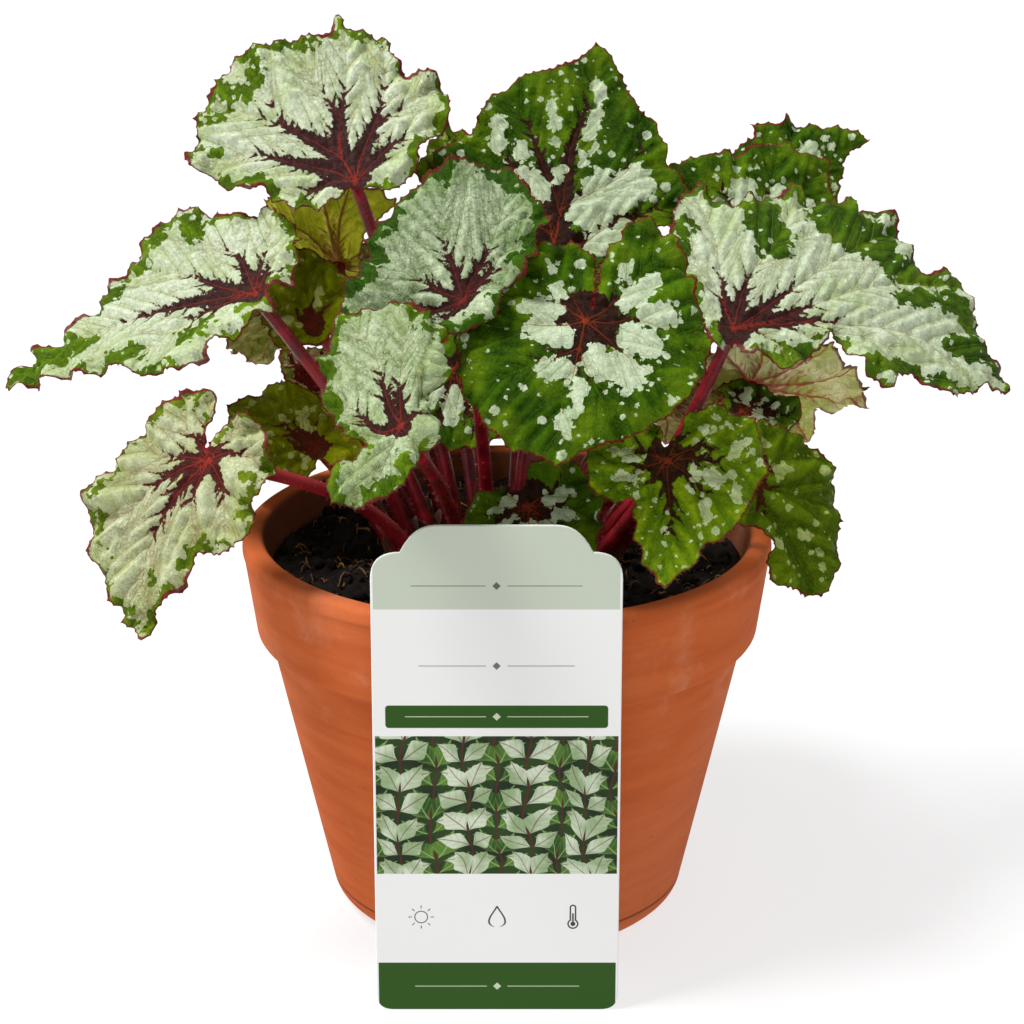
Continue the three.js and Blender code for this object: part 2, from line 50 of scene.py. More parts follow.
# Each sun: the way to it, its width in the sky in degrees, and its strength.
SUNS = {
    "key": ((-0.46, -0.1, 0.88), 20, 3.7),
    "top": ((0.45, 0.3, 0.85), 90, 0.35),
    "front": ((-0.25, -0.92, 0.3), 60, 0.6),
}
SKY_STRENGTH = 0.33
FLOOR = {"radius": 60, "dark": 0.24, "light": 0.26, "glow": 0.72, "noise": 3, "roughness": 0.9}
FRAME_PIXELS = 1024             # the photograph's width and height
FOCAL_PIXELS = 3000             # focal length, in pixels of that frame
SENSOR = 36
CAMERA_PLACE = (0.00153, -0.8635, 0.434)
CAMERA_DOWN = 0.344             # how far the camera looks down, in radians


def make_camera():
    data = bpy.data.cameras.new("camera")
    data.sensor_width = SENSOR
    data.lens = SENSOR * FOCAL_PIXELS / FRAME_PIXELS
    camera = bpy.data.objects.new("camera", data)
    camera.location = CAMERA_PLACE
    camera.rotation_euler = (math.pi / 2 - CAMERA_DOWN, 0, 0)
    bpy.context.scene.collection.objects.link(camera)
    bpy.context.scene.camera = camera


def make_sun(name, towards, softness, strength):
    """Even light from one side of the sky. `towards` points from the object to it."""
    data = bpy.data.lights.new(name, "SUN")
    data.angle = math.radians(softness)
    data.energy = strength
    lamp = bpy.data.objects.new(name, data)
    lamp.rotation_euler = Vector(towards).to_track_quat("Z", "Y").to_euler()
    bpy.context.scene.collection.objects.link(lamp)


def grey(value):
    return (value, value, value, 1)


def make_stage():
    for name, (towards, softness, strength) in SUNS.items():
        make_sun(name, towards, softness, strength)
    world = bpy.data.worlds.new("world")
    world.use_nodes = True
    sky = world.node_tree.nodes["Background"]
    sky.inputs["Color"].default_value = grey(1)
    sky.inputs["Strength"].default_value = SKY_STRENGTH
    bpy.context.scene.world = world
    bpy.context.scene.view_settings.view_transform = "Standard"

    shader = Shader("floor")
    clouds = shader.noise(shader.object_place(), FLOOR["noise"])
    tone = shader.mix(clouds, grey(FLOOR["dark"]), grey(FLOOR["light"]))
    shader.finish(
        tone, FLOOR["roughness"], emission_color=grey(1), emission_strength=FLOOR["glow"],
        specular_ior_level=0.0)
    bpy.ops.mesh.primitive_circle_add(vertices=96, radius=FLOOR["radius"], fill_type="NGON")
    floor = bpy.context.object
    floor.name = "floor"
    floor.data.materials.append(shader.material)


# ---------------------------------------------------------------- shader arithmetic


def srgb(red, green, blue):
    """A colour as a screen shows it, 0 to 255, as the linear colour that a shader takes."""
    def linear(value):
        share = value / 255
        return share / 12.92 if share <= 0.04045 else ((share + 0.055) / 1.055) ** 2.4
    return (linear(red), linear(green), linear(blue), 1)


class Number:
    """A number in a shader that takes Python's arithmetic."""

    def __init__(self, shader, socket):
        self.shader = shader
        self.socket = socket

    def __add__(self, other):
        return self.shader.math("ADD", self, other)

    __radd__ = __add__

    def __sub__(self, other):
        return self.shader.math("SUBTRACT", self, other)

    def __rsub__(self, other):
        return self.shader.math("SUBTRACT", other, self)

    def __mul__(self, other):
        return self.shader.math("MULTIPLY", self, other)

    __rmul__ = __mul__

    def __truediv__(self, other):
        return self.shader.math("DIVIDE", self, other)

    def __abs__(self):
        return self.shader.math("ABSOLUTE", self)


class Shader:
    """One material and the nodes that feed its surface."""

    def __init__(self, name):
        self.material = bpy.data.materials.new(name)
        self.material.use_nodes = True
        self.tree = self.material.node_tree
        self.tree.nodes.clear()

    def node(self, kind, inputs=None, **settings):
        node = self.tree.nodes.new("ShaderNode" + kind)
        for key, value in settings.items():
            setattr(node, key, value)
        for key, value in (inputs or {}).items():
            self.plug(node.inputs[key], value)
        return node

    def plug(self, socket, value):
        if isinstance(value, Number):
            value = value.socket
        if isinstance(value, bpy.types.NodeSocket):
            self.tree.links.new(value, socket)
        else:
            socket.default_value = value

    def math(self, operation, *values):
        node = self.node("Math", operation=operation)
        for socket, value in zip(node.inputs, values):
            self.plug(socket, value)
        return Number(self, node.outputs[0])

    def object_place(self):
        return self.node("TexCoord").outputs["Object"]

    def attribute(self, name):
        """The three numbers that a mesh holds at each point under this name."""
        source = self.node("Attribute", attribute_name=name).outputs["Vector"]
        return self.split(source)

    def split(self, vector):
        node = self.node("SeparateXYZ", {"Vector": vector})
        return [Number(self, output) for output in node.outputs]

    def join(self, x, y, z):
        return self.node("CombineXYZ", {"X": x, "Y": y, "Z": z}).outputs[0]

    def noise(self, place, scale, detail=2, roughness=0.5):
        inputs = {"Vector": place, "Scale": scale, "Detail": detail, "Roughness": roughness}
        return Number(self, self.node("TexNoise", inputs).outputs["Fac"])

    def cells(self, place, scale, feature="F1"):
        inputs = {"Vector": place, "Scale": scale}
        return Number(self, self.node("TexVoronoi", inputs, feature=feature).outputs["Distance"])

    def dots(self, place, scale, largest, share):
        """Scattered dots of unlike sizes. `largest` is a part of the distance between them, and
        `share` the part of the places for one that are filled."""
        node = self.node("TexVoronoi", {"Vector": place, "Scale": scale}, feature="F1")
        chance = self.split(node.outputs["Color"])[0]
        gap = Number(self, node.outputs["Distance"]) - (chance - (1 - share)) * (largest / share)
        return 1 - self.rise(gap, -0.02, 0.02)

    def rise(self, value, low, high):
        """Goes smoothly from 0 at low to 1 at high."""
        inputs = {"Value": value, "From Min": low, "From Max": high}
        node = self.node("MapRange", inputs, interpolation_type="SMOOTHSTEP")
        return Number(self, node.outputs["Result"])

    def fall(self, value, low, high):
        """Goes smoothly from 1 at low to 0 at high."""
        return 1 - self.rise(value, low, high)

    def between(self, value, low, high, soft=0.08):
        """1 where a value lies between two others, with a thin soft edge."""
        return self.rise(value, low - soft, low + soft) * self.fall(value, high - soft, high + soft)

    def zigzag(self, value):
        """Goes evenly from 0 to 1 and back over each whole number."""
        return self.math("PINGPONG", value, 0.5) * 2

    def larger(self, a, b):
        return self.math("MAXIMUM", a, b)

    def mix(self, share, a, b):
        node = self.node("Mix", data_type="RGBA")
        self.plug(node.inputs[0], share)
        self.plug(node.inputs[6], a)
        self.plug(node.inputs[7], b)
        return node.outputs[2]

    def finish(self, colour, roughness, height=None, relief=1.0, **uniform):
        """The surface itself. `height` is its relief in millimetres."""
        surface = self.node("BsdfPrincipled", {"Base Color": colour, "Roughness": roughness})
        for key, value in uniform.items():
            surface.inputs[key.replace("_", " ").title().replace("Ior", "IOR")].default_value = value
        if height is not None:
            inputs = {"Height": height, "Distance": MM, "Strength": relief}
            self.plug(surface.inputs["Normal"], self.node("Bump", inputs).outputs[0])
        output = self.node("OutputMaterial")
        self.tree.links.new(surface.outputs[0], output.inputs["Surface"])
        return self.material


# ---------------------------------------------------------------- meshes


def new_object(name, points, faces, materials):
    """An object in the scene, from points in millimetres."""
    mesh = bpy.data.meshes.new(name)
    mesh.from_pydata((np.asarray(points, float) * MM).tolist(), [], faces)
    for material in materials:
        mesh.materials.append(material)
    made = bpy.data.objects.new(name, mesh)
    bpy.context.scene.collection.objects.link(made)
    return made


def attach(piece, nodes):
    """Lets a piece ride on the part's one body and stand in for some CAD nodes."""
    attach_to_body(piece, "root")
    if nodes:
        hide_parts(*nodes)


def add_piece(name, points, faces, materials, nodes, face_materials=None):
    """A smooth piece of the part, from points in millimetres."""
    piece = new_object(name, points, faces, materials)
    mesh = piece.data
    if face_materials is not None:
        mesh.polygons.foreach_set("material_index", face_materials)
    mesh.polygons.foreach_set("use_smooth", [True] * len(mesh.polygons))
    mesh.update()
    attach(piece, nodes)
    return piece


def add_numbers(piece, name, columns):
    """Keeps three numbers at each point of a mesh, for its shader."""
    values = np.stack([np.asarray(column, np.float32) for column in columns], 1)
    attribute = piece.data.attributes.new(name, "FLOAT_VECTOR", "POINT")
    attribute.data.foreach_set("vector", values.ravel())


def unit(vectors):
    """The same directions with length 1."""
    return vectors / np.maximum(np.linalg.norm(vectors, axis=-1, keepdims=True), 1e-9)


def step_lengths(path):
    return np.linalg.norm(np.diff(path, axis=0), axis=1)


def angles_round(count):
    """Evenly spaced angles for one turn."""
    return np.linspace(0, TURN, count, endpoint=False)


def bump(distance, width):
    """1 at no distance, and soon 0 past the width."""
    return np.exp(-(distance / width) ** 2)


def wall_faces(rows, around):
    """The faces between rings of points, which follow each other row by row."""
    i, j = np.meshgrid(np.arange(rows - 1), np.arange(around), indexing="ij")
    a, b = (i * around + j).ravel(), (i * around + (j + 1) % around).ravel()
    return np.stack([a, b, b + around, a + around], 1).tolist()


def tube_faces(rows, around):
    """A closed tube's faces: its rows of points come first, and then its two end points."""
    faces = wall_faces(rows, around)
    start, last = rows * around, (rows - 1) * around
    for k in range(around):
        after = (k + 1) % around
        faces.append([start, after, k])
        faces.append([start + 1, last + k, last + after])
    return faces


def waves(x, y, random, size, count=14):
    """A smooth random height made of sine waves of about the given size."""
    height = np.zeros_like(x)
    for _ in range(count):
        angle, phase = random.uniform(0, TURN, 2)
        pitch = size * random.uniform(0.6, 1.7)
        height += np.sin((x * math.cos(angle) + y * math.sin(angle)) * TURN / pitch + phase)
    return height / math.sqrt(count / 2)


def scattered(random, least, reach):
    """A random place on a disc. `least` is the share of its area that is left out in the middle."""
    radius = reach * math.sqrt(random.uniform(least, 1))
    angle = random.uniform(0, TURN)
    return radius * math.cos(angle), radius * math.sin(angle)


def hair_solids(roots, ways, lengths, radius):
    """A slim three-sided spike on each root. Gives points and faces."""
    side = unit(np.cross(ways, [0.31, 0.52, 0.8]))
    other = np.cross(ways, side)
    points = []
    for k in range(3):
        angle = TURN * k / 3
        points.append(roots + radius * (side * math.cos(angle) + other * math.sin(angle)))
    points.append(roots + ways * lengths[:, None])
    points = np.stack(points, 1).reshape(-1, 3)
    first = 4 * np.arange(len(roots))[:, None]
    pattern = np.array([[0, 1, 3], [1, 2, 3], [2, 0, 3], [0, 2, 1]])
    faces = (first[:, None] + pattern[None]).reshape(-1, 3)
    return points, faces


# ---------------------------------------------------------------- the leaves' shapes

# A blade's thickness, the distance between its mesh points inside and on the margin, and how
# near the margin an inside point may lie, as a share of that distance.
BLADE = {"middle": 0.65, "rim": 0.35, "grid": 0.85, "edge": 0.6, "clear": 0.55}
# How wide a pillow's slope, a groove and the ruffle reach, the pitch of the ruffle's lobes and
# the pitch of the folds that cross a pillow.
RELIEF = {"pillow": 1.9, "groove": 1.1, "ruffle": 5.5, "lobe": 19, "fold": 4.4}
HAIRS = {"margin": (0.4, 1.1), "margin_radius": 0.07, "petiole": (0.6, 2.0), "petiole_radius": 0.08}
BRISTLES_PER_MM = 2.6
CAD_THICKNESS = 0.9
PETIOLE = {"radius": 2.1, "seat": 0.6, "sink": 3, "hook": 13, "tip": 1.35, "steps": 48, "around": 16,
           "ridges": 0.035}
RHIZOME = {"centre": (-1, 0, 107), "half": (40, 27, 10), "lump": 0.07}


def sides(start, over, turn):
    """The same bend towards the left and the right side of a leaf."""
    return [(90, start, over, turn), (-90, start, over, turn)]


def leaf_shape(hub, face, spin, foot, wave, bends, edge, rise=(0.12, 0.35)):
    """A leaf as in the part's source, in millimetres and degrees. The petiole meets it at its hub
    and grows from its foot on the rhizome, leaning over by the first share of the way and rising
    by the second. `face` is the compass direction and the tilt of its upper face, and `spin` the
    turn of its midrib. `wave` is a height, a count and a phase. Each bend is a direction on the
    flat leaf, where it starts, how far it reaches and its angle. `edge` is the flat outline."""
    return {"hub": hub, "face": face, "spin": spin, "foot": foot, "wave": wave, "bends": bends,
            "edge": edge, "rise": rise}


LEAVES = {
    "silver_top_left": leaf_shape(
        (-45, 8, 226), (-95, 50), -171, (-15, 6), (1.6, 5, 40), [*sides(12, 45, 18), (0, 15, 50, -12)],
        [(54, 0), (49, 6), (49, 25), (46, 33), (31, 46), (24, 47), (18, 51), (13, 48), (9, 43),
         (3, 36), (2, 28), (-1, 25), (-5, 20), (-6, 9), (-2, 2), (-2, -4), (-4, -10), (4, -19),
         (9, -20), (14, -27), (21, -30), (34, -26), (34, -19), (46, -12), (51, -2)]),
    "silver_left_long": leaf_shape(
        (-74, -12, 197), (-115, 42), -67, (-29, -2), (1.6, 6, 0), [(0, 15, 60, 22)],
        [(89, 0), (72, 5), (62, 8), (54, 11), (46, 11), (36, 18), (29, 19), (17, 19), (14, 12),
         (6, 13), (1, 8), (-6, 4), (-3, 0), (-10, -3), (-13, -9), (-14, -15), (-11, -24), (-4, -30),
         (13, -33), (19, -38), (33, -33), (38, -26), (66, -8), (82, -7)]),
    "silver_lower_left": leaf_shape(
        (-85, -52, 159), (-112, 62), -13, (-27, -12), (1.2, 6, 90), [*sides(8, 35, 16), (0, 10, 50, 10)],
        [(54, 1), (43, 2), (38, 6), (32, 8), (26, 7), (23, 14), (14, 20), (6, 17), (2, 19), (-8, 17),
         (-14, 11), (-15, 4), (-9, -1), (-3, -3), (-10, -5), (-18, -7), (-15, -17), (-6, -23),
         (7, -27), (19, -33), (30, -31), (40, -23), (50, -9)]),
    "silver_curled": leaf_shape(
        (-28.5, -92, 182.5), (-98, 42), -25, (-13, -20), (1, 5, 0),
        [(117, 1.5, 6, 110), (117, 0, 1.5, -40), (0, 4, 26, 34), (-90, 3, 14, 20)],
        [(27, -3), (24, 3), (15, 9), (3, 12), (-9, 10), (-20, 5), (-31, -1), (-36, -7), (-36, -15),
         (-35, -26), (-28, -36), (-20, -39), (-11, -36), (1, -26), (8, -15), (9, -10), (9, -5),
         (15, -8), (21, -12), (26, -10)]),
    "silver_centre": leaf_shape(
        (-12, -54, 207), (-98, 50), -171, (-5, -12), (1.3, 6, 60),
        [(221, 4, 7, 85), (221, 0, 2, -30), (90, 10, 35, 14)],
        [(44, -1), (40, 8), (37, 11), (29, 21), (22, 26), (10, 30), (8, 34), (0, 36), (-7, 29),
         (-12, 20), (-13, 11), (-11, 1), (-8, -8), (0, -11), (7, -19), (15, -20), (21, -26), (28, -23),
         (40, -15), (41, -8)]),
    "green_top": leaf_shape(
        (14, 14, 203), (-88, 48), 168, (3, 4), (1.6, 6, 0),
        [(90, 10, 50, 16), (-90, 15, 50, 20), (0, 10, 60, -10)],
        [(71, -1), (65, 4), (56, 19), (46, 30), (41, 30), (27, 41), (19, 42), (3, 35), (-6, 24),
         (-10, 14), (-9, 5), (-3, -1), (-4, -8), (-5, -14), (-3, -20), (8, -23), (14, -26), (16, -34),
         (27, -37), (36, -30), (50, -22), (53, -17)]),
    "green_right_long": leaf_shape(
        (67, -14, 187), (-70, 44), 76, (24, -9), (1.5, 6, 0),
        [(0, 20, 60, 20), (90, 10, 40, 10), (-90, 8, 30, 10)],
        [(95, -1), (93, 6), (86, 11), (81, 33), (77, 38), (65, 35), (61, 42), (58, 54), (44, 56),
         (40, 54), (29, 53), (25, 56), (1, 47), (-9, 52), (-18, 31), (-18, 17), (-14, 13), (-9, -1),
         (-5, -8), (1, -4), (4, -9), (9, -6), (17, -11), (21, -8), (29, 1), (32, 4), (35, -1),
         (42, -8), (48, -11), (55, -5), (68, -8), (78, -6), (88, 0)], rise=(0.5, 0.22)),
    "green_centre": leaf_shape(
        (22, -57, 202), (-92, 44), -11, (10, -6), (1.2, 7, 0), [(0, 12, 35, 25), *sides(12, 35, 14)],
        [(44, 0), (39, 7), (29, 23), (16, 33), (4, 36), (-4, 34), (-18, 27), (-31, 20), (-35, 9),
         (-24, 2), (-4, 1), (-20, -2), (-24, -10), (-20, -19), (-9, -26), (5, -33), (11, -34),
         (26, -30), (41, -13), (42, -3)]),
    "green_lower_right": leaf_shape(
        (45, -64, 163), (-86, 60), -4, (18, -16), (1, 7, 30), sides(8, 25, 14),
        [(35, 0), (28, 9), (23, 12), (21, 17), (14, 22), (0, 29), (-8, 27), (-13, 23), (-17, 14),
         (-14, 7), (-4, 0), (-12, -4), (-12, -9), (-7, -14), (-2, -22), (9, -20), (12, -14), (12, -9),
         (22, -8)]),
    "olive_right_hanging": leaf_shape(
        (74, -28, 150), (-60, 66), 16, (32, -6), (1, 6, 0), sides(8, 25, 12),
        [(44, 0), (37, 11), (29, 15), (21, 22), (8, 22), (0, 18), (-11, 5), (-3, -1), (-7, -5),
         (-1, -11), (12, -14), (18, -8), (23, -7), (28, -12), (34, -11), (41, -3)]),
    "olive_right_turned": leaf_shape(
        (73.5, 6, 165), (100, 52), -73, (32, 4), (0.8, 5, 0), sides(8, 30, -12),
        [(40, -1), (40, 7), (28, 8), (32, 17), (33, 24), (27, 26), (17, 20), (7, 15), (-3, 16),
         (-14, 5), (-20, -8), (-19, -15), (-6, -21), (6, -23), (15, -23), (25, -14), (33, -10)]),
    "dark_right_small": leaf_shape(
        (70, -12, 161), (-75, 28), 71, (28, -1), (0.4, 5, 0), [],
        [(18, 2), (15, 9), (8, 13), (-2, 13), (-9, 8), (-5, 1), (-10, -5), (-2, -9), (8, -8), (15, -4)]),
    "green_back_right": leaf_shape(
        (76, 42, 199), (-80, 52), 132, (25, 6), (1, 6, 0), sides(8, 35, 12),
        [(39, 0), (33, 10), (34, 14), (20, 24), (3, 35), (-6, 27), (-14, 10), (-9, -1), (-2, -2),
         (-2, -9), (6, -15), (18, -17), (27, -14), (34, -3)]),
    "green_back_far": leaf_shape(
        (86, 62, 206), (-75, 50), 120, (20, 12), (1, 6, 90), sides(8, 35, 12),
        [(39, 0), (37, 8), (26, 16), (24, 22), (19, 22), (15, 27), (9, 23), (-3, 22), (-10, 18),
         (-13, 7), (-8, 0), (-2, -2), (-3, -7), (7, -11), (18, -8), (32, 1)]),
    "bronze_back_small": leaf_shape(
        (-17, 34, 220), (-90, 50), 180, (-7, 11), (0.5, 5, 0), sides(5, 25, 12),
        [(19, 0), (16, 5), (4, 10), (-3, 8), (-6, 4), (-2, 0), (-6, -3), (-1, -8), (7, -9), (18, -4)]),
    "olive_left_turned": leaf_shape(
        (-52, 40, 193), (85, 58), 167, (-19, 13), (0.8, 5, 0), sides(8, 30, -12),
        [(38, 0), (38, 10), (34, 16), (22, 25), (18, 20), (8, 10), (-7, 4), (-10, -1), (-2, -7),
         (4, -12), (17, -13), (30, -14)]),
    "olive_left_back": leaf_shape(
        (-58, 6, 182), (-110, 50), -100, (-23, 3), (0.6, 5, 0), [(0, 5, 30, 15)],
        [(19, 0), (8, 9), (1, 7), (-5, 3), (-6, -14), (-4, -17), (16, -23), (22, -12), (23, -5)]),
    "olive_left_lower": leaf_shape(
        (-57, -8, 148), (-105, 52), -107, (-34, -5), (0.8, 5, 0), [(0, 8, 30, 12)],
        [(33, 0), (22, 6), (11, 11), (0, 10), (-2, 3), (-8, 3), (-17, -5), (-6, -8), (7, -15),
         (20, -15), (28, -10)]),
    "red_left_small": leaf_shape(
        (-58, 14, 162), (-110, 45), -115, (-25, 10), (0.4, 5, 0), [],
        [(16, 0), (9, 5), (3, 6), (-3, 3), (-4, -1), (-2, -6), (4, -10), (10, -8), (16, -5)]),
    "green_lower_centre": leaf_shape(
        (6, -54, 146), (-92, 52), 3, (3, -20), (0.8, 6, 0), sides(8, 20, 14),
        [(20, 0), (20, 9), (18, 16), (5, 21), (-9, 19), (-14, 7), (-12, 1), (-5, -1), (-6, -11),
         (2, -18), (10, -15), (16, -8)]),
    "dark_centre_folded": leaf_shape(
        (-16, -6, 172), (-95, 55), 20, (-9, -4), (1, 5, 0), sides(5, 20, 20),
        [(25, 0), (22, 14), (11, 21), (-4, 22), (-17, 20), (-20, 8), (-10, 0), (-20, -8), (-8, -18),
         (4, -22), (14, -20), (21, -11)]),
    "silver_back_left": leaf_shape(
        (-60, 74, 180), (140, 42), 0, (-16, 19), (1.4, 6, 20), [(0, 12, 45, 26), *sides(10, 35, 14)],
        [(48, 0), (40, 10), (36, 18), (27, 26), (14, 31), (1, 29), (-9, 24), (-14, 14), (-12, 6),
         (-5, 0), (-12, -6), (-15, -15), (-10, -25), (2, -31), (16, -32), (29, -26), (38, -16),
         (42, -8)]),
    "green_back_centre": leaf_shape(
        (6, 76, 178), (95, 44), 8, (2, 17), (1.5, 7, 0), [(0, 12, 45, 24), *sides(12, 40, 16)],
        [(52, 0), (44, 8), (41, 19), (30, 29), (15, 35), (0, 33), (-11, 26), (-17, 15), (-13, 6),
         (-5, 0), (-13, -7), (-17, -17), (-9, -27), (3, -33), (17, -34), (31, -28), (40, -19), (45, -9)]),
    "silver_back_low_right": leaf_shape(
        (48, 71, 145), (40, 48), -6, (17, 18), (1.2, 6, 70), [(0, 10, 40, 22), *sides(10, 35, 14)],
        [(42, 0), (36, 9), (31, 18), (20, 26), (7, 28), (-5, 25), (-12, 16), (-11, 6), (-4, 0),
         (-11, -6), (-13, -15), (-7, -24), (5, -28), (18, -27), (29, -19), (37, -9)]),
    "green_back_low_left": leaf_shape(
        (-14, 75, 138), (112, 50), 4, (-6, 20), (1, 6, 10), [(0, 10, 35, 16), *sides(8, 30, 14)],
        [(36, 0), (31, 9), (25, 17), (13, 23), (1, 23), (-8, 17), (-11, 8), (-4, 0), (-10, -7),
         (-10, -16), (-1, -23), (12, -24), (24, -18), (31, -9)]),
    "olive_back_left_low": leaf_shape(
        (-66, 28, 148), (165, 56), 0, (-33, 6), (0.9, 5, 0), sides(8, 30, 12),
        [(32, 0), (26, 9), (19, 16), (7, 19), (-4, 16), (-9, 8), (-4, 0), (-9, -7), (-6, -15),
         (5, -20), (17, -17), (26, -9)]),
    "olive_back_right_low": leaf_shape(
        (84, 49, 140), (10, 60), 0, (28, 13), (0.8, 5, 40), sides(8, 30, 12),
        [(30, 0), (24, 8), (17, 14), (6, 17), (-4, 14), (-8, 7), (-3, 0), (-8, -6), (-5, -14),
         (5, -18), (17, -15), (25, -8)]),
}

